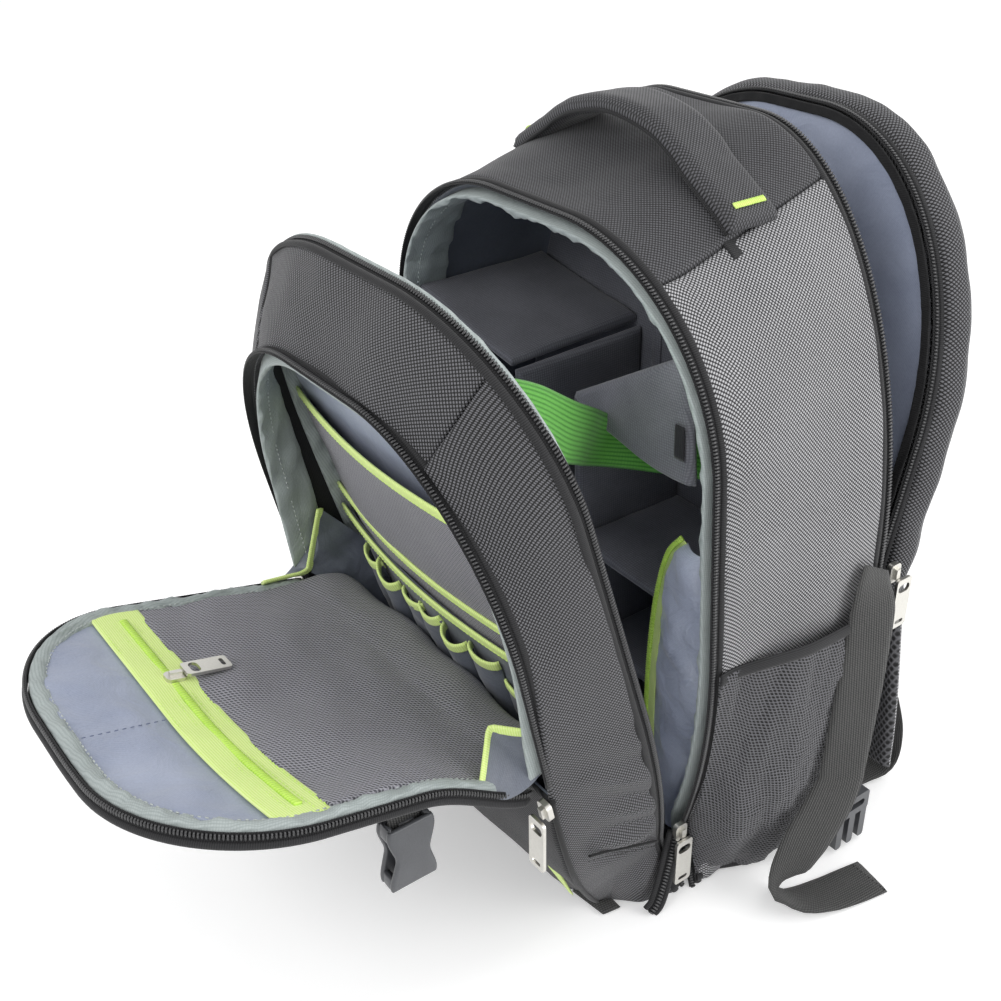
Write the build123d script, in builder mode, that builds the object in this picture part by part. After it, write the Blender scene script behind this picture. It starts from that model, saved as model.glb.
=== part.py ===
"""Camera backpack, opened up: padded body, front cover, pocket flap and laptop panel.

Millimetres, +Z up. The origin is the middle of the underside of the body. The bag's front
faces -Y, its back and shoulder straps face +Y, and its right side faces +X. Every piece is
drawn where it is with the bag open: the cover, the flap and the laptop panel lie back as far
as their straps and gussets let them, and their joints start from there.
"""
from build123d import *
import math
import os

os.makedirs("parts", exist_ok=True)

# ---------------------------------------------------------------- driving dimensions
gap = 0.4                       # room between pieces that move apart
wall = 6.0                      # padded wall: nylon, foam and lining together
cloth = 1.5                     # one layer of lining or mesh
chain_width = 9.0               # tape and coil of one half of a zip
chain_thick = 2.6
webbing_thick = 1.6

front_y, back_y = -54.0, 54.0   # mouths of the camera and laptop compartments, at the floor
front_lean = 3.96               # the front mouth leans forward by this, in degrees
seam_x = 104.0                  # seams between the top, base and side panels
back_wall_y, back_wall_thick = 36.0, 6.0

cover_tilt = 17.1               # the open cover leans forward by this, in degrees
cover_wall = 5.0
cover_seam_x = 96.0
floor_lift = 1.2                # the open cover's underside stays this far off the floor
rim_depth, rim_slope = 81.8, 4.95   # cover's depth at the foot, and its taper in degrees
organizer_depth = 12.0          # the wall that carries the organizer, inside the cover

flap_fold = 172.0               # the flap folds at this height on the cover
flap_rise = 13.4                # the open flap rises towards its end, in degrees
flap_thick = 8.0

panel_hinge_z = 168.0           # the laptop panel folds here
panel_lean = 13.6               # the open laptop panel leans back by this, in degrees
panel_thick = 24.0
lumbar_top = 158.0
pad_thick = 8.0

# Outlines: width, height, corner radius across, corner radius up, tuck of the foot, and the
# knee, the height below which the sides curve in to that tuck.
body_front = (286.0, 411.0, 112.0, 113.0, 12.0, 12.0)
body_back = (310.0, 442.0, 120.0, 226.0, 12.0, 12.0)
mouth = (282.0, 409.0, 110.0, 111.0, 41.0, 189.0)
laptop_mouth = (308.0, 441.0, 119.0, 225.0, 12.0, 12.0)
cover_back = (282.0, 417.0, 110.0, 97.0, 41.0, 189.0)
cover_rim = (267.0, 376.0, 101.0, 123.0, 30.0, 160.0)
flap_outline = (253.0, 208.0, 96.0, 80.0, 3.0, 10.0)
panel_outline = (302.0, 280.0, 132.0, 172.0, 6.0, 12.0)


# ---------------------------------------------------------------- planes of the bag
def leaning(y, z, lean):
    """Plane that faces the front; its local Y goes up and leans forward by lean degrees."""
    turn = math.radians(lean)
    return Plane(origin=(0, y, z), x_dir=(1, 0, 0), z_dir=(0, -math.cos(turn), -math.sin(turn)))


def along(plane, reach, outward=0.0):
    """World (y, z) of a point up a leaning plane, and outward along its normal."""
    point = plane.from_local_coords(Vector(0, reach, outward))
    return point.Y, point.Z


mouth_plane = leaning(front_y, 0, front_lean)
back_plane = leaning(back_y, 0, 0)
cover_plane = leaning(front_y - 0.6, 1.0, cover_tilt)
rim_plane = leaning(*along(cover_plane, 0, rim_depth), cover_tilt - rim_slope)
flap_plane = leaning(*along(rim_plane, flap_fold, 0.6), 90 - flap_rise)
panel_plane = leaning(back_y + 0.6, panel_hinge_z, -panel_lean)

chain_seat = chain_thick + gap  # shells stop this far short of the plane of their zip
front_face = mouth_plane.offset(-chain_seat)
back_face = back_plane.offset(chain_seat)
cover_face = cover_plane.offset(chain_seat)
rim_face = rim_plane.offset(-chain_seat)


# ---------------------------------------------------------------- shapes used again and again
def arch(outline, inset=0.0, bottom=0.0, top=None, mode=Mode.ADD):
    """Draw an arched outline in the open sketch, drawn in by inset and cut off at top."""
    width, height, corner_x, corner_z, tuck, knee = outline
    half = width / 2 - inset
    corner_x, corner_z = corner_x - inset, corner_z - inset
    crown, shoulder = half - corner_x, height - inset - corner_z
    foot = half - tuck * ((knee - bottom) / knee) ** 2 if bottom < knee else half
    with BuildLine() as line:
        if bottom < knee:
            Line((-foot, bottom), (foot, bottom))
            Bezier((foot, bottom), (half, (bottom + knee) / 2), (half, knee))
            Line((half, knee), (half, shoulder))
        else:
            Line((-half, bottom), (half, bottom))
            Line((half, bottom), (half, shoulder))
        EllipticalCenterArc((crown, shoulder), corner_x, corner_z, 0, arc_size=90)
        Line((crown, height - inset), (-crown, height - inset))
        EllipticalCenterArc((-crown, shoulder), corner_x, corner_z, 90, arc_size=90)
        if bottom < knee:
            Line((-half, shoulder), (-half, knee))
            Bezier((-half, knee), (-half, (bottom + knee) / 2), (-foot, bottom))
        else:
            Line((-half, shoulder), (-half, bottom))
    make_face(line.edges(), mode=mode)
    if top is not None:
        split(bisect_by=Plane.XZ.offset(-top), keep=Keep.TOP)


def zip_half(plane, outline, thick, bottom=0.0):
    """Tape and coil of half a zip: a strip along an arch, open at the foot."""
    with BuildPart() as strip:
        with BuildSketch(plane):
            arch(outline, bottom=bottom)
            arch(outline, inset=chain_width, bottom=bottom - 1, mode=Mode.SUBTRACT)
        extrude(amount=thick)
    return strip.part


def ribbon(stations, width, thick=webbing_thick):
    """Flat webbing through stations, each a middle point and a direction across."""
    with BuildPart() as webbing:
        for index, (point, across) in enumerate(stations):
            before = Vector(*stations[max(index - 1, 0)][0])
            after = Vector(*stations[min(index + 1, len(stations) - 1)][0])
            with BuildSketch(Plane(origin=point, x_dir=across, z_dir=after - before)):
                Rectangle(width, thick)
        loft(ruled=True)
    return webbing.part


def save(shape, label):
    """Label a finished piece and write its STEP file."""
    shape.label = label
    export_step(shape, f"parts/{label}.step")


def save_sides(shape, label):
    """Write a right-hand piece and its mirror image as two nodes."""
    save(shape, f"{label}_right")
    save(shape.mirror(Plane.YZ), f"{label}_left")


def save_both(shape, label):
    """Write a right-hand piece and its mirror image as one node."""
    save(Compound(children=[*shape.solids(), *shape.mirror(Plane.YZ).solids()]), label)


# ---------------------------------------------------------------- body shell
with BuildPart() as body_envelope:
    with BuildSketch(front_face):
        arch(body_front, bottom=-1)
    with BuildSketch(back_face):
        arch(body_back, bottom=-1)
    loft()
    split(bisect_by=Plane.XY, keep=Keep.TOP)

overrun = 2.0                   # a cutter runs past the faces it cuts by this
with BuildPart() as body_room:
    with BuildSketch(front_face.offset(overrun)):
        arch(body_front, inset=wall, bottom=wall)
    with BuildSketch(back_face.offset(-overrun)):
        arch(body_back, inset=wall, bottom=wall)
    loft()

with BuildPart() as body_shell:
    add(body_envelope.part)
    add(body_room.part, mode=Mode.SUBTRACT)

with BuildPart() as side_panel:
    add(body_shell.part)
    split(bisect_by=Plane.YZ.offset(seam_x), keep=Keep.TOP)
save_both(side_panel.part, "side_panels")

with BuildPart() as middle_shell:
    add(body_shell.part)
    split(bisect_by=Plane.YZ.offset(seam_x), keep=Keep.BOTTOM)
    split(bisect_by=Plane.YZ.offset(-seam_x), keep=Keep.TOP)

with BuildPart() as top_panel:
    add(middle_shell.part)
    split(bisect_by=Plane.XY.offset(200), keep=Keep.TOP)
save(top_panel.part, "top_panel")

with BuildPart() as base_panel:
    add(middle_shell.part)
    split(bisect_by=Plane.XY.offset(200), keep=Keep.BOTTOM)
save(base_panel.part, "base_panel")

# Lower corners of the front, between the curved zip and the side panels.
corner_thick = 4.0
with BuildPart() as front_corner:
    with BuildSketch(front_face):
        arch(body_front, inset=wall, bottom=wall, top=mouth[5] - 10)
        arch(mouth, inset=chain_width - 3, bottom=-wall, mode=Mode.SUBTRACT)
        with Locations((-body_front[0] / 2, 0)):
            Rectangle(body_front[0], body_front[1], mode=Mode.SUBTRACT)
    extrude(amount=-corner_thick)
save_both(front_corner.part, "front_corners")

# Padded wall between the cameras and the laptop.
with BuildPart() as back_wall:
    add(body_room.part)
    split(bisect_by=Plane.XZ.offset(-back_wall_y), keep=Keep.BOTTOM)
    split(bisect_by=Plane.XZ.offset(-back_wall_y - back_wall_thick), keep=Keep.TOP)
save(back_wall.part, "back_wall")

save(zip_half(front_face, mouth, chain_thick), "mouth_zip")
save(zip_half(back_face, laptop_mouth, -chain_thick, panel_hinge_z + 4), "laptop_mouth_zip")

# Lower back: the fixed half of the laptop pocket, with the pad for the small of the back.
lumbar_low = (306.0, lumbar_top, 26.0, 26.0, 12.0, 12.0)
lumbar_depth = 25.0
with BuildPart() as lumbar_panel:
    with BuildSketch(back_face):
        arch(lumbar_low)
    with BuildSketch(back_face.offset(-lumbar_depth)):
        arch(lumbar_low, inset=7)
    loft()
save(lumbar_panel.part, "lumbar_panel")

with BuildPart() as lumbar_pad:
    with BuildSketch(back_face.offset(-lumbar_depth)):
        with Locations((0, 84)):
            RectangleRounded(212, 104, 30)
    extrude(amount=-7)
    fillet(lumbar_pad.faces().sort_by(Axis.Y)[-1].edges(), 3)
save(lumbar_pad.part, "lumbar_pad")


# ---------------------------------------------------------------- carrying handle
handle_y, handle_width, handle_span = -9.0, 34.0, 86.0
with BuildPart() as handle_grip:
    with BuildSketch(Plane.XZ.offset(-handle_y)):
        with BuildLine():
            ThreePointArc((-handle_span, 419), (0, 456), (handle_span, 419))
            Line((handle_span, 419), (handle_span - 12, 415))
            ThreePointArc((handle_span - 12, 415), (0, 443), (12 - handle_span, 415))
            Line((12 - handle_span, 415), (-handle_span, 419))
        make_face()
    extrude(amount=handle_width / 2, both=True)
    add(body_envelope.part, mode=Mode.SUBTRACT)
    fillet(handle_grip.edges().filter_by(GeomType.CIRCLE).sort_by(Axis.Z)[-2:], 4)
save(handle_grip.part, "handle_grip")

patch_thick = 3.0
with BuildPart() as handle_anchor:
    with BuildSketch(front_face):
        arch(body_front, inset=-patch_thick)
    with BuildSketch(back_face):
        arch(body_back, inset=-patch_thick)
    loft()
    with Locations((88, handle_y, 400)):
        Box(34, 44, 80, mode=Mode.INTERSECT)
    add(body_envelope.part, mode=Mode.SUBTRACT)
    add(handle_grip.part, mode=Mode.SUBTRACT)
save_both(handle_anchor.part, "handle_anchors")


# ---------------------------------------------------------------- side pockets of mesh
pocket_back, pocket_foot, pocket_reach = 46.0, 3.0, 220.0
pocket_slope = Plane(origin=(0, -63, 184), z_dir=(0, 0.2, 1))
binding_height = 9.0


def pouch(bulge, inset, low):
    """Lens-shaped block on the right side that runs up past the pocket's top."""
    with BuildPart() as block:
        for height in (low, low + pocket_reach):
            front = along(mouth_plane, height)[0] + 4 + inset
            with BuildSketch(Plane.XY.offset(height)):
                with BuildLine():
                    ThreePointArc((138, front), (bulge, -8), (150, pocket_back - inset))
                    Line((150, pocket_back - inset), (138, front))
                make_face()
        loft(ruled=True)
    return block.part


with BuildPart() as side_pocket:
    add(pouch(162, 0, pocket_foot))
    add(pouch(162 - cloth, cloth, pocket_foot + cloth), mode=Mode.SUBTRACT)
    add(body_envelope.part, mode=Mode.SUBTRACT)
    split(bisect_by=pocket_slope.offset(-binding_height), keep=Keep.BOTTOM)
save_both(side_pocket.part, "side_pockets")

with BuildPart() as pocket_binding:
    add(pouch(163, -1, pocket_foot))
    add(pouch(162 - cloth, cloth, pocket_foot + cloth), mode=Mode.SUBTRACT)
    add(body_envelope.part, mode=Mode.SUBTRACT)
    split(bisect_by=pocket_slope.offset(-binding_height), keep=Keep.TOP)
    split(bisect_by=pocket_slope, keep=Keep.BOTTOM)
save_both(pocket_binding.part, "pocket_bindings")


# ---------------------------------------------------------------- padded dividers
divider = 6.0
tall_x, tall_top = 2.0, 290.0
upper_x, upper_z = -36.0, 304.0


def upright_board(x, low, high, setback):
    """Board across the bag's depth, its front edge setback behind the leaning mouth."""
    low_front = along(mouth_plane, low, -setback)[0]
    high_front = along(mouth_plane, high, -setback)[0]
    with BuildPart() as board:
        with BuildSketch(Plane.YZ.offset(x)):
            Polygon((low_front, low), (back_wall_y, low), (back_wall_y, high), (high_front, high), align=None)
        extrude(amount=divider)
    return board.part


def shelf(x_low, x_high, z, setback):
    """Level board from the back wall to setback behind the mouth."""
    front = along(mouth_plane, z, -setback)[0]
    with BuildPart() as board:
        with BuildSketch(Plane.XY.offset(z)):
            Polygon((x_low, front), (x_high, front), (x_high, back_wall_y), (x_low, back_wall_y), align=None)
        extrude(amount=divider)
        add(body_room.part, mode=Mode.INTERSECT)
    return board.part


save(upright_board(tall_x, wall + gap, tall_top, 24), "divider_tall")
with BuildPart() as divider_upper:
    add(shelf(-150, upper_x + divider, upper_z, 8))
    add(upright_board(upper_x, 200, upper_z, 10))
save(divider_upper.part, "divider_upper")
with BuildPart() as divider_shelves:
    add(shelf(tall_x + divider, 160, 190, 16))
    add(shelf(tall_x + divider, 160, 112, 22))
    add(shelf(-160, tall_x, 150, 24))
save(divider_shelves.part, "divider_shelves")

# Loose end of a divider, folded across the mouth and stuck to the right wall.
with BuildPart() as divider_folded:
    with BuildSketch(mouth_plane.offset(-20)):
        Polygon((tall_x + divider + 1, 291), (128, 362), (130, 292), align=None)
    extrude(amount=divider)
    add(body_room.part, mode=Mode.INTERSECT)
    fillet(divider_folded.edges().filter_by(Plane.XZ, reverse=True).sort_by(Axis.X)[:1], 2)
save(divider_folded.part, "divider_folded")


# ---------------------------------------------------------------- satin wings inside the mouth
with BuildPart() as wing:
    with BuildSketch(mouth_plane.offset(-12)):
        with BuildLine():
            Polyline((136, 252), (118, 244), (106, 226), (98, 196), (97, 150), (100, 96), (110, 64), (136, 54))
            Line((136, 54), (136, 252))
        make_face()
    extrude(amount=cloth)
    add(body_room.part, mode=Mode.INTERSECT)
save_both(wing.part, "wings")

wing_stations = [((119, 241), (-5, 9)), ((105.5, 222), (-9, 6)), ((99, 192), (-10, 2)),
                 ((98, 150), (-10, 0)), ((101, 98), (-10, -1)), ((109, 70), (-8, -5))]
with BuildPart() as wing_zip:
    with BuildSketch(mouth_plane.offset(-12 + cloth)):
        with BuildLine():
            edge = Spline(*[point for point, _ in wing_stations])
            outer = Spline(*[(point[0] + out[0], point[1] + out[1]) for point, out in wing_stations])
            Line(edge @ 0, outer @ 0)
            Line(edge @ 1, outer @ 1)
        make_face()
    extrude(amount=2.4)
save_both(wing_zip.part, "wing_zips")


# ---------------------------------------------------------------- straps of the body
strap_width = 28.0
side_stations = [((158.6, 44, 213), (0, 0.8, -0.6)), ((163, 39, 204), (0.2, 0.8, -0.55)),
                 ((167, 35.5, 190), (0.4, 0.9, -0.2)), ((168.6, 32, 141), (0.45, 0.89, -0.05)),
                 ((170.8, 24.5, 84), (0.5, 0.85, -0.15)), ((173, 13, 68), (0.6, 0.75, -0.25)),
                 ((174.5, -3, 56), (0.7, 0.6, -0.4)), ((174.5, -14, 43), (0.7, 0.6, -0.35)),
                 ((173, -21, 24), (0.6, 0.8, -0.1)), ((170, -23, 11), (0.35, 0.8, 0.45)),
                 ((179, -16, 8.5), (-0.4, 0.6, 0.5)), ((185, 5, 5.5), (-0.85, 0.3, 0.28)),
                 ((188, 25, 2.8), (-0.98, 0.2, 0.1)), ((191, 42, 1.3), (-1, 0.1, 0))]
save_both(ribbon(side_stations, strap_width), "side_straps")

# Plug that the side strap runs through; it clicks into the socket on the flap.
with BuildPart() as side_plug:
    with BuildSketch(Plane.YZ.offset(157.2)):
        with Locations((52, 33)):
            RectangleRounded(28, 15, 2)
            SlotOverall(20, 5, mode=Mode.SUBTRACT)
        for prong_y in (41.5, 52, 62.5):
            with Locations((prong_y, 15)):
                RectangleRounded(5.5, 25, 2)
    extrude(amount=6)
save_both(side_plug.part, "side_plugs")

# Webbing tabs that hold the shoulder straps at the foot of the back.
tab_foot_y = along(back_face, 0, -lumbar_depth)[0]
with BuildPart() as strap_tab:
    with BuildSketch(Plane.YZ.offset(112)):
        with BuildLine():
            Polyline((tab_foot_y, 8), (tab_foot_y + 16, 5), (tab_foot_y + 16, 2.5), (tab_foot_y, 2.5), close=True)
        make_face()
    extrude(amount=22)
save_both(strap_tab.part, "strap_tabs")


# ---------------------------------------------------------------- cover shell
fold_y, fold_z = along(rim_plane, flap_fold)


def side_limit(inset):
    """Block that keeps what lies above the cover's sole and behind its lower front."""
    with BuildPart() as block:
        with BuildSketch(Plane.YZ.offset(-200)):
            with BuildLine():
                Line((60, floor_lift + inset), (inset - 117, floor_lift + inset))
                ThreePointArc((inset - 117, floor_lift + inset), (inset - 150, 71), (fold_y + inset, fold_z))
                Polyline((fold_y + inset, fold_z), (-330, fold_z), (-330, 500), (60, 500), (60, floor_lift + inset))
            make_face()
        extrude(amount=400)
    return block.part


with BuildPart() as cover_envelope:
    with BuildSketch(cover_face):
        arch(cover_back)
    with BuildSketch(rim_face):
        arch(cover_rim)
    loft()
    add(side_limit(0), mode=Mode.INTERSECT)

with BuildPart() as cover_room:
    with BuildSketch(cover_face.offset(-overrun)):
        arch(cover_back, inset=cover_wall)
    with BuildSketch(rim_face.offset(overrun)):
        arch(cover_rim, inset=cover_wall)
    loft()
    add(side_limit(cover_wall), mode=Mode.INTERSECT)

with BuildPart() as cover_shell:
    add(cover_envelope.part)
    add(cover_room.part, mode=Mode.SUBTRACT)

with BuildPart() as cover_side:
    add(cover_shell.part)
    split(bisect_by=Plane.YZ.offset(cover_seam_x), keep=Keep.TOP)
save_both(cover_side.part, "cover_sides")

with BuildPart() as cover_middle:
    add(cover_shell.part)
    split(bisect_by=Plane.YZ.offset(cover_seam_x), keep=Keep.BOTTOM)
    split(bisect_by=Plane.YZ.offset(-cover_seam_x), keep=Keep.TOP)

with BuildPart() as cover_top:
    add(cover_middle.part)
    split(bisect_by=Plane.XY.offset(250), keep=Keep.TOP)
save(cover_top.part, "cover_top")

sole_top = floor_lift + cover_wall
with BuildPart() as cover_lower_front:
    add(cover_middle.part)
    split(bisect_by=Plane.XY.offset(250), keep=Keep.BOTTOM)
    split(bisect_by=Plane.XY.offset(sole_top), keep=Keep.TOP)
save(cover_lower_front.part, "cover_lower_front")

with BuildPart() as cover_sole:
    add(cover_middle.part)
    split(bisect_by=Plane.XY.offset(sole_top), keep=Keep.BOTTOM)
save(cover_sole.part, "cover_sole")

zip_foot = 8.0
save(zip_half(cover_face, cover_back, -chain_thick, zip_foot), "cover_zip")
save(zip_half(rim_face, cover_rim, chain_thick, flap_fold + 6), "pocket_rim_zip")


# ---------------------------------------------------------------- organizer inside the cover
with BuildPart() as organizer_wall:
    add(cover_room.part)
    split(bisect_by=cover_plane.offset(organizer_depth), keep=Keep.TOP)
    split(bisect_by=cover_plane.offset(organizer_depth + 3.5), keep=Keep.BOTTOM)
save(organizer_wall.part, "organizer_wall")


def organizer_layer(depth, thick, low, high):
    """One pocket layer on the organizer wall."""
    with BuildPart() as layer:
        with BuildSketch(cover_plane.offset(organizer_depth + depth)):
            arch(cover_back, inset=14, bottom=low, top=high)
        extrude(amount=thick)
    return layer.part


save(organizer_layer(3.5, 3, 52, 288), "organizer_mesh_pocket")
save(organizer_layer(6.5, 3, 48, 207), "organizer_sleeve")

pen_pitch, pen_count = 25.0, 6
with BuildPart() as pen_pockets:
    with BuildSketch(cover_plane.offset(organizer_depth + 9.5)):
        with Locations((-46 + pen_pitch * 0.5, 106)):
            with GridLocations(pen_pitch, 1, pen_count, 1):
                RectangleRounded(pen_pitch - 1, 112, 5)
        with Locations((73, 104)):
            RectangleRounded(58, 92, 5)
    extrude(amount=6)
save(pen_pockets.part, "pen_pockets")


# ---------------------------------------------------------------- front pocket flap
with BuildPart() as flap_panel:
    with BuildSketch(flap_plane.offset(chain_seat)):
        arch(flap_outline, bottom=1)
    with BuildSketch(flap_plane.offset(chain_seat + flap_thick)):
        arch(flap_outline, inset=6, bottom=5)
    loft()
save(flap_panel.part, "flap_panel")
save(zip_half(flap_plane.offset(gap), flap_outline, chain_thick, 6), "flap_zip")

lining_inset = chain_width + 0.5
with BuildPart() as flap_lining:
    with BuildSketch(flap_plane.offset(0.6)):
        arch(flap_outline, inset=lining_inset, bottom=4)
    extrude(amount=chain_seat - 0.6)
save(flap_lining.part, "flap_lining")

tape_low, tape_high = 116.0, 150.0
with BuildPart() as flap_mesh_pocket:
    with BuildSketch(flap_plane.offset(0.6)):
        arch(flap_outline, inset=lining_inset, bottom=6, top=tape_low)
    extrude(amount=-3)
save(flap_mesh_pocket.part, "flap_mesh_pocket")
with BuildPart() as flap_pocket_tape:
    with BuildSketch(flap_plane.offset(0.6)):
        arch(flap_outline, inset=lining_inset, bottom=tape_low, top=tape_high)
    extrude(amount=-2)
save(flap_pocket_tape.part, "flap_pocket_tape")


# ---------------------------------------------------------------- laptop panel
panel_seat = panel_plane.offset(-chain_seat)
panel_back = panel_plane.offset(-panel_thick)
recess = 8.0
with BuildPart() as laptop_panel:
    with BuildSketch(panel_seat):
        arch(panel_outline, bottom=1)
    with BuildSketch(panel_back):
        arch(panel_outline, inset=10, bottom=5)
    loft()
    with BuildSketch(panel_seat.offset(overrun)):
        arch(panel_outline, inset=chain_width + 1, bottom=14)
    with BuildSketch(panel_plane.offset(-recess)):
        arch(panel_outline, inset=chain_width + 4, bottom=17)
    loft(mode=Mode.SUBTRACT)
save(laptop_panel.part, "laptop_panel")
save(zip_half(panel_seat, panel_outline, chain_thick, 6), "laptop_panel_zip")
with BuildPart() as laptop_lining:
    with BuildSketch(panel_plane.offset(-recess)):
        arch(panel_outline, inset=chain_width + 5, bottom=18)
    extrude(amount=cloth)
save(laptop_lining.part, "laptop_lining")

with BuildPart() as back_pad:
    with BuildSketch(panel_back):
        arch(panel_outline, inset=30, bottom=26, top=214)
        with Locations((16 - panel_outline[0], 0)):
            Rectangle(2 * panel_outline[0], 3 * panel_outline[1], mode=Mode.SUBTRACT)
    extrude(amount=-pad_thick)
save_both(back_pad.part, "back_pads")

with BuildPart() as strap_yoke:
    with BuildSketch(panel_back):
        arch(panel_outline, inset=24, bottom=26)
        split(bisect_by=Plane.XZ.offset(-220), keep=Keep.BOTTOM)
    extrude(amount=-6)
save(strap_yoke.part, "strap_yoke")

# Shoulder straps: a front view and a side view, each extruded, and what they share.
strap_pad = 12.0
front_edges = [(402, 52, 30), (330, 60, 29), (240, 78, 28), (150, 103, 25), (70, 122, 22), (24, 127, 20)]
side_edges = [(402, 142.6), (384, 139.8), (330, 135), (240, 124), (150, 111), (70, 102), (24, 101)]
with BuildPart() as shoulder_strap:
    with BuildSketch(Plane.XZ.offset(-80)):
        with BuildLine():
            outer_edge = Spline(*[(x + half, z) for z, x, half in front_edges])
            inner_edge = Spline(*[(x - half, z) for z, x, half in front_edges])
            Line(outer_edge @ 0, inner_edge @ 0)
            Line(outer_edge @ 1, inner_edge @ 1)
        make_face()
    extrude(amount=-120)
    with BuildSketch(Plane.YZ):
        with BuildLine():
            near_edge = Spline(*[(y, z) for z, y in side_edges])
            far_edge = Spline(*[(y + strap_pad, z) for z, y in side_edges])
            Line(near_edge @ 0, far_edge @ 0)
            Line(near_edge @ 1, far_edge @ 1)
        make_face()
    extrude(amount=200, mode=Mode.INTERSECT)
save_both(shoulder_strap.part, "shoulder_straps")

# Webbing from the foot of the back, round behind the end of each shoulder strap.
adjuster_stations = [((123, tab_foot_y + 17.5, 3.2), (1, 0, 0)), ((125, 108, 3.2), (1, 0, 0)),
                     ((128, 122, 5), (1, 0, 0)), ((129, 129, 16), (1, 0, 0)),
                     ((129, 128, 40), (1, 0, 0)), ((127, 121, 66), (1, 0, 0)),
                     ((125, 116.5, 84), (1, 0, 0))]
save_both(ribbon(adjuster_stations, 20), "adjuster_webbings")


# ---------------------------------------------------------------- pieces that stretch or fold
stop_stations = [((108, -154, 356), (0.35, 0.35, 0.87)), ((96, -122, 326), (0.3, 0.5, 0.8)),
                 ((88, -92, 300), (0.15, 0.45, 0.9)), ((92, -72, 282), (0.1, 0.3, 0.95)),
                 ((106, -61, 276), (0.05, 0.2, 1)), ((131, -48, 276), (0, 0.1, 1))]
save(ribbon(stop_stations, 26), "stop_strap")

gusset_x = 116.0
with BuildPart() as flap_gusset:
    with BuildSketch(Plane.YZ.offset(gusset_x)):
        corner = along(rim_plane, flap_fold + 4, -4)
        on_flap = along(flap_plane, 38, -4)
        folded_in = along(rim_plane, flap_fold + 34, 18)
        on_mouth = along(rim_plane, flap_fold + 78, -4)
        Polygon(corner, on_flap, folded_in, on_mouth, align=None)
    extrude(amount=cloth)
save_both(flap_gusset.part, "flap_gussets")


# ---------------------------------------------------------------- zip sliders and pull tabs
tab_width, tab_length, tab_thick = 12.5, 34.0, 1.8


def slider(plane):
    """Slider body of a zip, standing on a plane, its length along the plane's Y."""
    with BuildPart() as body:
        with BuildSketch(plane):
            RectangleRounded(9, 12, 3)
        extrude(amount=3.2)
        with BuildSketch(plane.offset(3.2)):
            Rectangle(3, 7)
        extrude(amount=2.2)
    return body.part


def pull_tab(plane, length=tab_length):
    """Flat pull tab that hangs down a plane's Y from its origin, with a window and a slot."""
    with BuildPart() as tab:
        with BuildSketch(plane):
            with Locations((0, -length / 2 + 1)):
                RectangleRounded(tab_width, length, 2.2)
            with Locations((0, -5.5)):
                SlotOverall(9.5, 5.5, mode=Mode.SUBTRACT)
            with Locations((0, 5 - length)):
                SlotOverall(7, 2.4, mode=Mode.SUBTRACT)
        extrude(amount=tab_thick)
    return tab.part


def facing_side(x, y, z):
    """Plane that faces the bag's right side, its local Y going up."""
    return Plane(origin=(x, y, z), x_dir=(0, 1, 0), z_dir=(1, 0, 0))


mouth_slider_at = (120.4, -59.5, 47)
laptop_slider_at = (152.5, 66, 200)
with BuildPart() as zip_sliders:
    add(slider(facing_side(*mouth_slider_at)))
    add(slider(facing_side(*laptop_slider_at)))
save_both(zip_sliders.part, "zip_sliders")
save_sides(pull_tab(facing_side(mouth_slider_at[0] + 5.8, mouth_slider_at[1] - 1, 43)), "mouth_pull")
save_sides(pull_tab(facing_side(laptop_slider_at[0] + 5.8, laptop_slider_at[1] + 4, 196)), "laptop_pull")

pocket_slider_x = 131.8
slider_y, slider_z = along(rim_plane, flap_fold - 9, 1)
with BuildPart() as pocket_slider:
    add(slider(leaning(slider_y, slider_z, cover_tilt - rim_slope).move(Location((pocket_slider_x, 0, 0)))))
save_both(pocket_slider.part, "pocket_sliders")
pull_y, pull_z = slider_y - 6.2, slider_z - 5
save_sides(pull_tab(Plane(origin=(pocket_slider_x, pull_y, pull_z), x_dir=(1, 0, 0), z_dir=(0, -1, 0))), "pocket_pull")

flap_slider_x, flap_slider_reach = -36.0, 130.0
slide_y, slide_z = along(flap_plane, flap_slider_reach, -1.5)
inner_flap = Plane(origin=(flap_slider_x, slide_y, slide_z), x_dir=(-1, 0, 0), z_dir=-flap_plane.z_dir)
save(slider(inner_flap), "flap_slider")
tab_y, tab_z = along(flap_plane, flap_slider_reach - 5.5, -5.6)
tab_plane = Plane(origin=(flap_slider_x, tab_y, tab_z), x_dir=(-1, 0, 0), z_dir=-flap_plane.z_dir)
save(pull_tab(tab_plane, 27), "flap_pull")


# ---------------------------------------------------------------- buckle sockets on the flap
socket_reach, socket_x, socket_drop = 76.0, 112.0, 11.5
socket_width, socket_thick, socket_length = 29.0, 12.0, 38.0
root_y, root_z = along(flap_plane, socket_reach, chain_seat + flap_thick + 0.3)
with BuildPart() as buckle_socket:
    with BuildSketch(facing_side(socket_x - webbing_thick / 2, root_y, root_z)):
        with BuildLine():
            Polyline((-2, -1), (-9, -8), (-9, -socket_drop - 1), (9, -socket_drop - 1), (9, -8), (2, -1), close=True)
        make_face()
    extrude(amount=webbing_thick)
    with BuildSketch(facing_side(socket_x - socket_thick / 2, root_y, root_z - socket_drop)):
        with Locations((0, -socket_length / 2)):
            RectangleRounded(socket_width, socket_length, 4)
    extrude(amount=socket_thick)
    with BuildSketch(Plane(origin=(socket_x, root_y, root_z - socket_drop - socket_length))):
        Rectangle(7, 21)
    extrude(amount=27, mode=Mode.SUBTRACT)
    with BuildSketch(facing_side(socket_x - socket_thick, root_y, root_z - socket_drop)):
        for side in (-1, 1):
            with Locations((side * 14.5, -17)):
                SlotOverall(18, 7, rotation=90)
    extrude(amount=2 * socket_thick, mode=Mode.SUBTRACT)
save_sides(buckle_socket.part, "buckle_socket")
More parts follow.
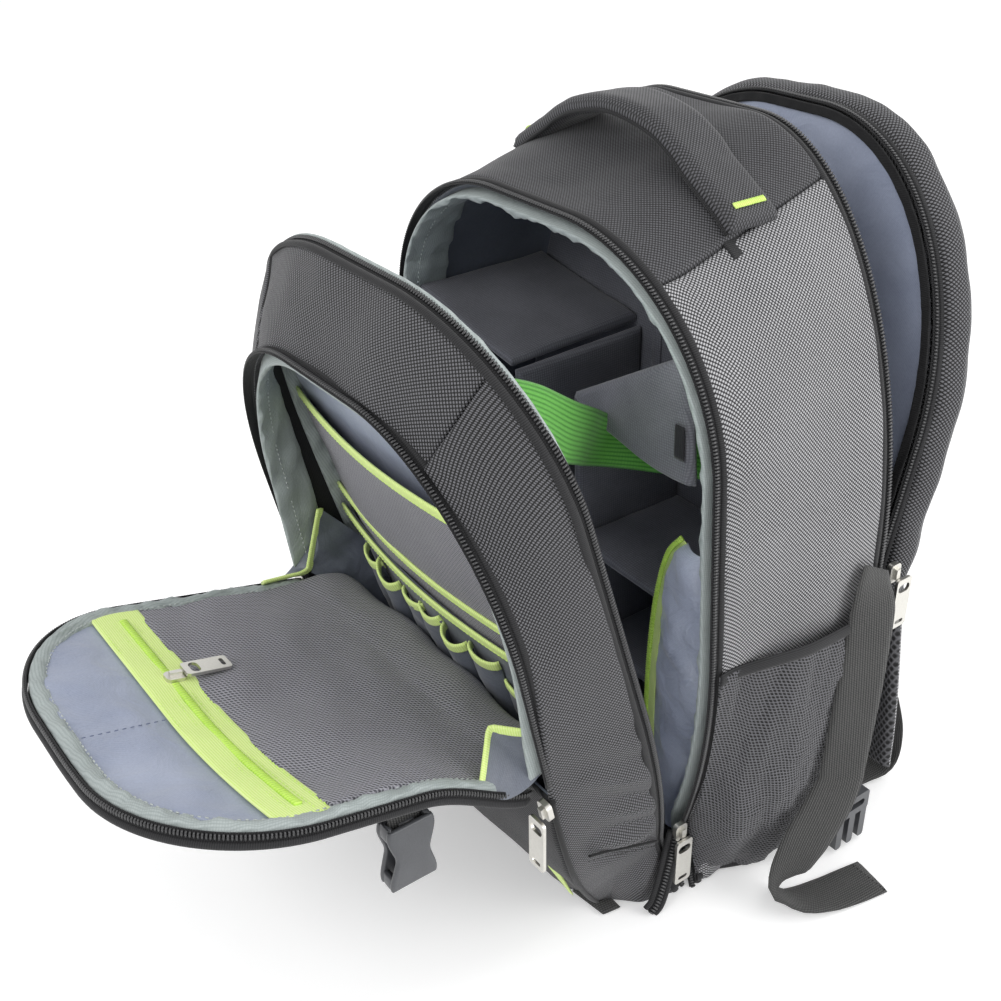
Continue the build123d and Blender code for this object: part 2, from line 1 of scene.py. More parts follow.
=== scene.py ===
"""Camera backpack, opened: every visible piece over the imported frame, as a Blender add-on.

Sizes are in millimetres until a mesh is made, and in metres from there on. The bag stands on
z = 0, its front faces -Y and its right side faces +X, as in the frame.
"""
import math

import bpy
import numpy as np
from mathutils import Matrix, Vector


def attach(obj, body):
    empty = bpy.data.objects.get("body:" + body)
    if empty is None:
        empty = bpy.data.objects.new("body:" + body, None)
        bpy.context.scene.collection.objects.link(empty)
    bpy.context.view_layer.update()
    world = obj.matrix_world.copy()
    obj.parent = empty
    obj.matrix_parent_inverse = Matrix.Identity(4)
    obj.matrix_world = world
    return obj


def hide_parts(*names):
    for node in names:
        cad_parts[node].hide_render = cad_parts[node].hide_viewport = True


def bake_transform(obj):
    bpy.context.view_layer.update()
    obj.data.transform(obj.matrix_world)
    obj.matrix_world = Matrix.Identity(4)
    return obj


bl_info = {
    "name": "Camera Backpack",
    "version": (1, 0, 0),
    "blender": (4, 5, 0),
    "location": "3D View > Sidebar > Backpack",
    "description": "Makes an opened camera backpack, piece by piece, over its frame",
    "category": "Object",
}

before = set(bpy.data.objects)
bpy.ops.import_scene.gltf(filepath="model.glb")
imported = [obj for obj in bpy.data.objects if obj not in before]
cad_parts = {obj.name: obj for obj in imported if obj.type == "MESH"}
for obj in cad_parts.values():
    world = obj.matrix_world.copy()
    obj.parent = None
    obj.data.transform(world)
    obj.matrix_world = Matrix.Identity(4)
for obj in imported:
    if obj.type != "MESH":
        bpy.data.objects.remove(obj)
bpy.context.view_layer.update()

# ------------------------------------------------------------ sizes shared with the frame
FRONT_Y, BACK_Y = -54.0, 54.0           # mouths of the camera and laptop compartments, at the floor
FRONT_LEAN = 3.96                       # leans and tilts are in degrees
COVER_TILT, RIM_SLOPE = 17.1, 4.95
RIM_DEPTH = 81.8                        # from the cover's back edge to its front rim
FLAP_FOLD, FLAP_RISE = 172.0, 13.4
PANEL_FOLD, PANEL_LEAN = 168.0, 13.6
# Width, height, corner across, corner up, tuck of the foot, knee where the tuck begins.
BODY_FRONT = (286.0, 411.0, 112.0, 113.0, 12.0, 12.0)
BODY_BACK = (310.0, 442.0, 120.0, 226.0, 12.0, 12.0)
LAPTOP_MOUTH = (308.0, 441.0, 119.0, 225.0, 12.0, 12.0)
COVER_BACK = (282.0, 417.0, 110.0, 97.0, 41.0, 189.0)
COVER_RIM = (267.0, 376.0, 101.0, 123.0, 30.0, 160.0)
FLAP = (253.0, 208.0, 96.0, 80.0, 3.0, 10.0)
PANEL = (302.0, 280.0, 132.0, 172.0, 6.0, 12.0)
LUMBAR = (306.0, 400.0, 40.0, 40.0, 12.0, 12.0)
AX, AY, AZ = np.eye(3)
METRES = 0.001                          # one millimetre


def size(name):
    """A size from the panel, in mm."""
    return getattr(bpy.context.scene.backpack_sizes, name) / METRES


def leaning(y, z, lean):
    """Plane that faces the front: origin, direction up it, direction out of it."""
    turn = math.radians(lean)
    up = np.array([0, -math.sin(turn), math.cos(turn)])
    return np.array([0.0, y, z]), up, np.array([0, -math.cos(turn), -math.sin(turn)])


def on(plane, x, reach, out=0.0):
    """Points x across a plane, reach up it and out from it."""
    origin, up, outward = plane
    x, reach, out = np.broadcast_arrays(np.asarray(x, float), reach, out)
    return origin + x[..., None] * AX + reach[..., None] * up + out[..., None] * outward


def moved(plane, out):
    """The same plane, out mm further along its outward direction."""
    return plane[0] + out * plane[2], plane[1], plane[2]


mouth_plane = leaning(FRONT_Y, 0, FRONT_LEAN)
back_plane = leaning(BACK_Y, 0, 0)
cover_plane = leaning(FRONT_Y - 0.6, 1.0, COVER_TILT)
rim_plane = leaning(*on(cover_plane, 0, 0, RIM_DEPTH)[1:], COVER_TILT - RIM_SLOPE)
flap_plane = leaning(*on(rim_plane, 0, FLAP_FOLD, 0.6)[1:], 90 - FLAP_RISE)
panel_plane = leaning(BACK_Y + 0.6, PANEL_FOLD, -PANEL_LEAN)


# ------------------------------------------------------------ lines and surfaces
def unit(vectors):
    """The directions of vectors, each one long."""
    return vectors / np.maximum(np.linalg.norm(vectors, axis=-1, keepdims=True), 1e-9)


def lengths(line):
    """Distance along a line of points, from its start."""
    steps = np.linalg.norm(np.diff(line, axis=0), axis=-1)
    return np.concatenate([[0.0], np.cumsum(steps)])


def resample(line, count=None, at=None):
    """Points on a line, evenly spaced or at the given shares of its length."""
    line = np.asarray(line, float)
    along = lengths(line)
    if at is None:
        at = np.linspace(0, 1, count)
    return np.stack([np.interp(at * along[-1], along, column) for column in line.T], axis=-1)


def shares(line):
    """Share of a line's length at each of its points."""
    along = lengths(line)
    return along / along[-1]


def carried(values, given, wanted):
    """Values that are known at given shares of a line, found at the wanted shares."""
    return np.stack([np.interp(wanted, given, column) for column in values.T], -1)


def smooth_line(points, count):
    """Smooth line through points (Catmull-Rom), evenly sampled."""
    points = np.asarray(points, float)
    padded = np.vstack([2 * points[0] - points[1], points, 2 * points[-1] - points[-2]])
    t = np.linspace(0, 1, 24, endpoint=False)[:, None]
    spans = []
    for a, b, c, d in zip(padded, padded[1:], padded[2:], padded[3:]):
        spans.append(0.5 * (2 * b + (c - a) * t + (2 * a - 5 * b + 4 * c - d) * t ** 2
                            + (3 * b - a - 3 * c + d) * t ** 3))
    return resample(np.vstack(spans + [points[-1:]]), count)


SOFT_TUCK = 40.0                        # outlines tucked in more than this flare out again at the floor


def foot_flare(height):
    """How far the foot of the body and the cover flares out again, near the floor."""
    return 27 * np.clip(1 - height / 47, 0, 1) ** 1.2


def arch(outline, inset, bottom, seam=None, part="all"):
    """Points (x, reach) along an arched outline, from its right foot over the top to the left.

    With a seam, only the right side up to x = seam, or only the top between the seams.
    """
    width, height, corner_x, corner_z, tuck, knee = outline
    half, top = width / 2 - inset, height - inset
    corner_x, corner_z = corner_x - inset, corner_z - inset
    turn = np.linspace(0, math.pi / 2, 90)
    side = []
    if bottom < knee:
        t = np.linspace(0, 1, 40)
        foot = half - tuck * ((knee - bottom) / knee) ** 2
        x = foot * (1 - t) ** 2 + 2 * half * t * (1 - t) + half * t ** 2
        side.append(np.stack([x, bottom + (knee - bottom) * t], 1))
    else:
        side.append(np.array([[half, bottom]]))
    corner = np.stack([half - corner_x + corner_x * np.cos(turn),
                       top - corner_z + corner_z * np.sin(turn)], 1)
    right = np.vstack([*side, corner[corner[:, 1] > side[-1][-1][1]]])
    right = np.vstack([right, [[0, top]]])
    if tuck > SOFT_TUCK:
        right[:, 0] += foot_flare(right[:, 1])
    if seam is None:
        return np.vstack([right, (right * [-1, 1])[-2::-1]])
    crossing = len(right) - np.argmax(right[::-1, 0] >= seam)
    a, b = right[crossing - 1], right[crossing]
    cut = a + (b - a) * (a[0] - seam) / (a[0] - b[0])
    if part == "side":
        return np.vstack([right[:crossing], cut])
    right = np.vstack([cut, right[crossing:]])
    return np.vstack([right, (right * [-1, 1])[-2::-1]])


def half_at(outline, reach, inset, bottom=0.0):
    """Half width of an arched outline at a reach up it."""
    flat = arch(outline, inset, bottom)
    flat = flat[:len(flat) // 2]
    return np.interp(reach, flat[:, 1], flat[:, 0])


def edged(count, length, edge):
    """Shares from 0 to 1 that crowd towards both ends, to round edges of that size."""
    near = edge / length * (1 - np.cos(np.linspace(0, math.pi / 2, 5)))
    middle = np.linspace(near[-1], 1 - near[-1], count)[1:-1]
    return np.concatenate([near, middle, 1 - near[::-1]])


def ripple(points, wave, seed, octaves=3):
    """Smooth uneven values from about -1 to 1 over points; wave is the largest wave in mm."""
    random = np.random.default_rng(seed)
    value = np.zeros(points.shape[:-1])
    for octave in range(octaves):
        for _ in range(6):
            direction = unit(random.normal(size=3))
            span = wave * random.uniform(0.7, 1.4) / 1.9 ** octave
            phase = random.uniform(0, 2 * math.pi)
            value += np.sin(points @ direction * 2 * math.pi / span + phase) / 1.9 ** octave
    return value / 4.0


def normals_of(grid, towards):
    """Normals of a grid of points, on the side that faces towards."""
    across, along = np.gradient(grid, axis=1), np.gradient(grid, axis=0)
    normal = unit(np.cross(across, along))
    return normal * (np.sign((normal * towards).sum(-1).mean()) or 1)


def edge_distance(grid):
    """Distance of each point of a grid from the nearer end and from the start, both ways."""
    across = np.linalg.norm(np.diff(grid, axis=1), axis=-1)
    across = np.concatenate([np.zeros((len(grid), 1)), np.cumsum(across, 1)], 1)
    along = np.linalg.norm(np.diff(grid, axis=0), axis=-1)
    along = np.concatenate([np.zeros((1, grid.shape[1])), np.cumsum(along, 0)], 0)
    return (np.minimum(across, across[:, -1:] - across),
            np.minimum(along, along[-1:] - along), across, along)


def curled(points):
    """Lifts the right side of the open flap, which curls up towards its free corner."""
    points = np.asarray(points, float)
    reach = np.clip((points - flap_plane[0]) @ flap_plane[1] / 75, 0, 1)
    side = np.clip(points[..., 0] / 120, 0, 1.1) ** 1.7
    return points - (size("flap_curl") * side * reach ** 2 * (3 - 2 * reach))[..., None] * flap_plane[2]


# ------------------------------------------------------------ meshes
def made(name, points, faces, finish, body, nodes, uv, marks=None, blend=None):
    """Mesh object from points in mm, with its finish and a map of its cloth in mm.

    With two finishes, marks says which of them each face has.
    """
    if body == "flap" or (blend and "flap" in blend):
        points = curled(points)
    mesh = bpy.data.meshes.new(name)
    mesh.from_pydata((np.asarray(points) * METRES).tolist(), [], [list(face) for face in faces])
    for each in finish if isinstance(finish, list) else [finish]:
        mesh.materials.append(FINISHES[each])
    if marks is not None:
        mesh.polygons.foreach_set("material_index", np.asarray(marks, np.int32))
    mesh.polygons.foreach_set("use_smooth", np.ones(len(mesh.polygons), bool))
    layer = mesh.uv_layers.new(name="cloth")
    loops = np.zeros(len(mesh.loops), np.int32)
    mesh.loops.foreach_get("vertex_index", loops)
    layer.data.foreach_set("uv", (np.asarray(uv)[loops] * METRES).astype(np.float32).ravel())
    mesh.validate()
    mesh.update()
    return placed(name, mesh, body, nodes, blend)


def placed(name, mesh, body, nodes=(), blend=None):
    """Object of a finished mesh that rides on a body, or stays fixed where it lies when it has a blend.
    """
    piece = bpy.data.objects.new(name, mesh)
    bpy.context.scene.collection.objects.link(piece)
    if blend:
        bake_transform(piece)
    else:
        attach(piece, body)
    if nodes:
        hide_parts(*nodes)
    return piece


def grid_faces(rows, columns, start=0):
    """Four-sided faces of a grid of points whose first index is start."""
    index = start + np.arange(rows * columns).reshape(rows, columns)
    return np.stack([index[:-1, :-1], index[:-1, 1:], index[1:, 1:], index[1:, :-1]], -1).reshape(-1, 4)


def rim_of(rows, columns):
    """Indices round the edge of a grid, in order."""
    index = np.arange(rows * columns).reshape(rows, columns)
    return np.concatenate([index[0, :-1], index[:-1, -1], index[-1, :0:-1], index[:0:-1, 0]])


PADDED_FROM = 3.0                       # a panel at least this thick holds foam
SHEET_FROM, TRIM_BELOW = 30.0, 10.0     # a sheet is longer than the first and wider than the second
LEAST_SHARE = 0.31                      # least share of its two lengths' product that a sheet can cover


def pad(name, middle, thick, finish, body, nodes, towards, edge, crown=0.0,
        crown_size=25.0, crease=None, lining=None, blend=None, share=0.5, anchor=0):
    """Closed soft panel about a grid of middle points, thinned over its last edge mm.

    crown swells the side that faces towards, to its full height at about crown_size from the edge,
    and crease(points) moves that side in and out. share is how much of the thickness lies on that
    side, lining the finish of the other side, and anchor the column that the weave runs true to.
    """
    middle = np.asarray(middle, float)
    rows, columns = middle.shape[:2]
    normal = normals_of(middle, towards)
    near_u, near_v, across, along = edge_distance(middle)
    near = np.minimum(near_u, near_v)
    full = np.sqrt(np.clip(1 - (1 - np.clip(near / edge, 0, 1)) ** 2, 0.01, 1))
    swell = crown * (1 - np.exp(-near_u / crown_size)) * (1 - np.exp(-near_v / crown_size))
    if crease is not None:
        swell = swell + crease(middle) * full
    face = middle + normal * (thick * share * full + swell)[..., None]
    back = middle - normal * (thick * (1 - share) * full)[..., None]
    points = np.vstack([face.reshape(-1, 3), back.reshape(-1, 3)])
    count = rows * columns
    handed = np.sign((np.cross(middle[0, 1] - middle[0, 0], middle[1, 0] - middle[0, 0])
                      * normal[0, 0]).sum()) or 1
    front_faces = grid_faces(rows, columns)
    back_faces = grid_faces(rows, columns, count)[:, ::-1]
    loop = rim_of(rows, columns)
    after = np.roll(loop, -1)
    wall = np.stack([loop, loop + count, after + count, after], -1)
    faces = np.vstack([front_faces, back_faces, wall])
    if handed < 0:
        faces = faces[:, ::-1]
    uv = np.stack([across - across[:, [anchor]], along], -1).reshape(-1, 2)
    marks = None
    if lining is not None:
        finish = [finish, lining]
        marks = np.concatenate([np.zeros(len(front_faces)), np.ones(len(back_faces)),
                                np.zeros(len(wall))])
    piece = made(name, points, faces, finish, body, nodes, np.vstack([uv, uv]), marks, blend)
    wide, long = across[:, -1].max(), along[-1].max()
    if thick >= PADDED_FROM:
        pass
    elif max(wide, long) > SHEET_FROM and min(wide, long) > TRIM_BELOW:
        cells = np.cross(np.diff(middle[:-1], axis=1), np.diff(middle[:, :-1], axis=0))
        area = min(float(np.linalg.norm(cells, axis=-1).sum()), wide * long)
        area = max(area, LEAST_SHARE * wide * long)


def sweep(name, line, side, profile, finish, body, nodes=(), blend=None):
    """Solid strip along a line: profile is (across, out) in mm about each point.

    side is the across direction at each point; out is square to it and to the line.
    """
    line = np.asarray(line, float)
    tangent = unit(np.gradient(line, axis=0))
    side = np.broadcast_to(side, line.shape)
    side = unit(side - (side * tangent).sum(-1, keepdims=True) * tangent)
    out = np.cross(tangent, side)
    profile = np.asarray(profile, float)
    points = line[:, None] + profile[None, :, :1] * side[:, None] + profile[None, :, 1:] * out[:, None]
    ring = np.arange(len(line) * len(profile)).reshape(len(line), len(profile))
    following = np.roll(ring, -1, axis=1)
    wall = np.stack([ring[:-1], following[:-1], following[1:], ring[1:]], -1)
    faces = [list(face) for face in wall.reshape(-1, 4)] + [list(ring[0][::-1]), list(ring[-1])]
    area = np.cross(profile, np.roll(profile, -1, 0)).sum()
    if area < 0:
        faces = [face[::-1] for face in faces]
    along = lengths(line)
    around = np.concatenate([[0], np.cumsum(np.linalg.norm(np.diff(profile, axis=0), axis=1))])
    uv = np.stack(np.broadcast_arrays(around[None, :], along[:, None]), -1).reshape(-1, 2)
    made(name, points.reshape(-1, 3), faces, finish, body, nodes, uv, blend=blend)


def oval(wide, high, count=12, power=1.0):
    """Oval section; a power below 1 squares it off."""
    turn = np.linspace(0, 2 * math.pi, count, endpoint=False)
    return np.stack([wide / 2 * np.sign(np.cos(turn)) * np.abs(np.cos(turn)) ** power,
                     high / 2 * np.sign(np.sin(turn)) * np.abs(np.sin(turn)) ** power], 1)


def strap_profile(wide, thick):
    """Flat strap: an oval with its sides squared off, sampled across for its weave."""
    x = np.linspace(-0.5, 0.5, 9) * wide
    lift = thick / 2 * np.sqrt(np.clip(1 - (np.abs(x) / (wide / 2)) ** 8, 0.05, 1))
    return np.vstack([np.stack([x, -lift], 1), np.stack([x[::-1], lift[::-1]], 1)])


def add(tree, kind, settings=None, inputs=None):
    """One node with its settings; an input is a value, a socket, or a node for its first socket."""
    node = tree.nodes.new(kind)
    for key, value in (settings or {}).items():
        setattr(node, key, value)
    for key, value in (inputs or {}).items():
        if isinstance(value, bpy.types.Node):
            value = value.outputs[0]
        if isinstance(value, bpy.types.NodeSocket):
            tree.links.new(value, node.inputs[key])
        else:
            node.inputs[key].default_value = value
    return node


def repeat_tree():
    """Geometry Nodes: a part at each point of a mesh, turned by the point's own turn."""
    tree = bpy.data.node_groups.get("Repeated along a line")
    if tree:
        return tree
    tree = bpy.data.node_groups.new("Repeated along a line", "GeometryNodeTree")
    for label, way, kind in (("Geometry", "INPUT", "Geometry"), ("Part", "INPUT", "Object"),
                             ("Finish", "INPUT", "Material"), ("Size", "INPUT", "Float"),
                             ("Geometry", "OUTPUT", "Geometry")):
        tree.interface.new_socket(label, in_out=way, socket_type="NodeSocket" + kind)
    given = add(tree, "NodeGroupInput")
    turn = add(tree, "GeometryNodeInputNamedAttribute", {"data_type": "QUATERNION"}, {"Name": "turn"})
    part = add(tree, "GeometryNodeObjectInfo", None, {"Object": given.outputs["Part"]})
    spots = add(tree, "GeometryNodeMeshToPoints", None, {"Mesh": given.outputs["Geometry"]})
    instances = add(tree, "GeometryNodeInstanceOnPoints", None,
                    {"Points": spots, "Instance": part.outputs["Geometry"],
                     "Rotation": turn.outputs["Attribute"], "Scale": given.outputs["Size"]})
    real = add(tree, "GeometryNodeRealizeInstances", None, {"Geometry": instances})
    painted = add(tree, "GeometryNodeSetMaterial", None,
                  {"Geometry": real, "Material": given.outputs["Finish"]})
    add(tree, "NodeGroupOutput", None, {"Geometry": painted})
    return tree


def repeated(name, spots, across, along, part, finish, body):
    """Copies of a small part at spots in mm, its X across and its Y along."""
    if body == "flap":
        spots = curled(spots)
    across = unit(np.broadcast_to(across, spots.shape))
    along = np.broadcast_to(along, spots.shape)
    along = unit(along - (along * across).sum(-1, keepdims=True) * across)
    out = np.cross(across, along)
    carrier = bpy.data.meshes.new(name + "_spots")
    carrier.from_pydata((spots * METRES).tolist(), [], [])
    turn = carrier.attributes.new("turn", "QUATERNION", "POINT")
    turns = [Matrix(np.stack(axes, 1).tolist()).to_quaternion() for axes in zip(across, along, out)]
    turn.data.foreach_set("value", np.array(turns, np.float32).ravel())
    carrier = bpy.data.objects.new(name + "_spots", carrier)
    shape = bpy.data.meshes.new(name + "_part")
    shape.from_pydata((np.asarray(part[0]) * METRES).tolist(), [], part[1])
    shape.polygons.foreach_set("use_smooth", np.ones(len(shape.polygons), bool))
    shape = bpy.data.objects.new(name + "_part", shape)
    for each in (carrier, shape):
        bpy.context.scene.collection.objects.link(each)
    tree = repeat_tree()
    modifier = carrier.modifiers.new("repeat", "NODES")
    modifier.node_group = tree
    sockets = {item.name: item.identifier for item in tree.interface.items_tree if item.in_out == "INPUT"}
    modifier[sockets["Part"]] = shape
    modifier[sockets["Finish"]] = FINISHES[finish]
    modifier[sockets["Size"]] = 1.0
    bpy.context.view_layer.update()
    shown = carrier.evaluated_get(bpy.context.evaluated_depsgraph_get())
    mesh = bpy.data.meshes.new_from_object(shown)
    mesh.name = name
    if "turn" in mesh.attributes:
        mesh.attributes.remove(mesh.attributes["turn"])
    for each in (carrier, shape):
        bpy.data.objects.remove(each)
    placed(name, mesh, body)


def bar(across, along, high, rings=4, sides=6):
    """Rounded bar of few faces, its length across X: a coil's turn or a stitch."""
    reach = np.sin(np.linspace(-math.pi / 2, math.pi / 2, rings + 2))[1:-1]
    turn = np.linspace(0, 2 * math.pi, sides, endpoint=False)
    points, faces = [], []
    for x in reach:
        girth = math.sqrt(max(1 - abs(x) ** 3, 0.05))
        points += [(x * across / 2, math.cos(a) * along / 2 * girth,
                    math.sin(a) * high / 2 * girth) for a in turn]
    for ring in range(rings - 1):
        for side in range(sides):
            a, b = ring * sides + side, ring * sides + (side + 1) % sides
            faces.append([a, b, b + sides, a + sides])
    faces += [list(range(sides))[::-1], list(range((rings - 1) * sides, rings * sides))]
    return points, [face[::-1] for face in faces]


# ------------------------------------------------------------ finishes
def linear(colour):
    """Linear RGBA from sRGB hex, as #rrggbb, or from a colour that is already linear."""
    if not isinstance(colour, str):
        return [*colour, 1.0]
    parts = [int(colour[i:i + 2], 16) / 255 for i in (1, 3, 5)]
    parts = [part / 12.92 if part <= 0.04045 else ((part + 0.055) / 1.055) ** 2.4 for part in parts]
    return [*parts, 1.0]


def fresh(name):
    """New material without nodes, and its tree."""
    material = bpy.data.materials.new(name)
    material.use_nodes = True
    material.node_tree.nodes.clear()
    return material, material.node_tree


def per_metre(millimetres):
    """Scale of a noise whose largest lumps are about this far apart."""
    return 1000 / millimetres


# Each weave is two waves over the cloth: their directions, and how far the second breaks the first.
WEAVES = {"ballistic": ((1, 1), (1, -1), 0.85),
          "twill": ((1, 0.12), (0.5, 1), 0.6),
          "ribs": ((0, 1), (1.6, 0), 0.25),
          "cords": ((1, 0), (0, 1.6), 0.25),
          "plain": ((1, 0), (0, 1), 1.0),
          "mesh": ((1, 0.56), (1, -0.56), 1.0),
          "knit": ((1, 0.3), (0.2, 1), 1.0)}
OPEN_WEAVES = ("mesh", "knit")          # drawn as threads round holes
LINT, FADING, FOLDS = 1.11, 45.5, 26.3  # sizes of the fuzz, the faded patches and the soft folds, in mm


def cloth(name, dark, light, pattern, pitch, rough=0.85, sheen=0.15, depth=0.25, contrast=1.0,
          wear=0.12, gloss=0.3, fold=0.0):
    """Woven or knitted cloth that follows the piece's own map, pitch in mm between threads."""
    material, tree = fresh(name)
    uv = add(tree, "ShaderNodeUVMap", {"uv_map": "cloth"})
    place = add(tree, "ShaderNodeTexCoord").outputs["Object"]
    first, second, broken = WEAVES[pattern]
    waves = []
    for across, along in (first, second):
        turns = per_metre(pitch) * math.pi
        phase = add(tree, "ShaderNodeVectorMath", {"operation": "DOT_PRODUCT"},
                    {0: uv, 1: (across * turns, along * turns, 0)})
        wave = add(tree, "ShaderNodeMath", {"operation": "SINE"}, {0: phase.outputs["Value"]})
        waves.append(add(tree, "ShaderNodeMath", {"operation": "ABSOLUTE"}, {0: wave}))
    gaps = add(tree, "ShaderNodeMath", {"operation": "MULTIPLY_ADD"},
               {0: waves[1], 1: broken, 2: 1 - broken})
    weave = add(tree, "ShaderNodeMath", {"operation": "MULTIPLY"}, {0: waves[0], 1: gaps})
    if pattern in OPEN_WEAVES:
        weave = add(tree, "ShaderNodeMath", {"operation": "MULTIPLY_ADD"}, {0: weave, 1: -1.7, 2: 1.25})
    lint = add(tree, "ShaderNodeTexNoise", None,
               {"Vector": place, "Scale": per_metre(LINT), "Detail": 2.0})
    fading = add(tree, "ShaderNodeTexNoise", None,
                 {"Vector": place, "Scale": per_metre(FADING), "Detail": 3.0})
    tone = add(tree, "ShaderNodeMath", {"operation": "MULTIPLY_ADD"},
               {0: weave, 1: contrast, 2: 0.25 - 0.5 * contrast - wear})
    tone = add(tree, "ShaderNodeMath", {"operation": "MULTIPLY_ADD"}, {0: lint, 1: 0.4, 2: tone})
    tone = add(tree, "ShaderNodeMath", {"operation": "MULTIPLY_ADD"}, {0: fading, 1: 2 * wear, 2: tone})
    shade = add(tree, "ShaderNodeMix", {"data_type": "RGBA"},
                {0: tone, 6: linear(dark), 7: linear(light)})
    height = add(tree, "ShaderNodeMath", {"operation": "MULTIPLY_ADD"}, {0: lint, 1: 0.3, 2: weave})
    normal = add(tree, "ShaderNodeBump", None,
                 {"Height": height, "Strength": depth, "Distance": 0.4 * METRES})
    if fold:
        folds = add(tree, "ShaderNodeTexNoise", {"noise_dimensions": "3D"},
                    {"Vector": place, "Scale": per_metre(FOLDS), "Detail": 4.0, "Distortion": 1.2})
        normal = add(tree, "ShaderNodeBump", None,
                     {"Height": folds, "Strength": fold, "Distance": 4 * METRES, "Normal": normal})
    shader = add(tree, "ShaderNodeBsdfPrincipled", None,
                 {"Base Color": shade.outputs[2], "Roughness": rough, "Normal": normal,
                  "Sheen Weight": sheen, "Sheen Roughness": 0.4, "Specular IOR Level": gloss})
    add(tree, "ShaderNodeOutputMaterial", None, {"Surface": shader})
    return material


SCUFFS = 16.7                           # size of the duller patches on plastic and metal, in mm


def solid(name, dark, light, rough, metallic=0.0, grain=2.0, depth=0.05, coat=0.0, gloss=0.5):
    """Moulded or plated finish, its grain in mm, with slightly duller patches."""
    material, tree = fresh(name)
    place = add(tree, "ShaderNodeTexCoord").outputs["Object"]
    fine = add(tree, "ShaderNodeTexNoise", None,
               {"Vector": place, "Scale": per_metre(grain), "Detail": 3.0})
    scuffs = add(tree, "ShaderNodeTexNoise", None,
                 {"Vector": place, "Scale": per_metre(SCUFFS), "Detail": 3.0})
    tone = add(tree, "ShaderNodeMath", {"operation": "ADD"}, {0: fine, 1: scuffs})
    tone = add(tree, "ShaderNodeMath", {"operation": "MULTIPLY"}, {0: tone, 1: 0.5})
    shade = add(tree, "ShaderNodeMix", {"data_type": "RGBA"},
                {0: tone, 6: linear(dark), 7: linear(light)})
    roughness = add(tree, "ShaderNodeMapRange", None,
                    {"Value": scuffs, "To Min": rough - 0.06, "To Max": rough + 0.08})
    bump = add(tree, "ShaderNodeBump", None,
               {"Height": fine, "Strength": depth, "Distance": 0.3 * METRES})
    shader = add(tree, "ShaderNodeBsdfPrincipled", None,
                 {"Base Color": shade.outputs[2], "Metallic": metallic, "Roughness": roughness,
                  "Normal": bump, "Coat Weight": coat, "Specular IOR Level": gloss})
    add(tree, "ShaderNodeOutputMaterial", None, {"Surface": shader})
    return material


FINISHES = {}


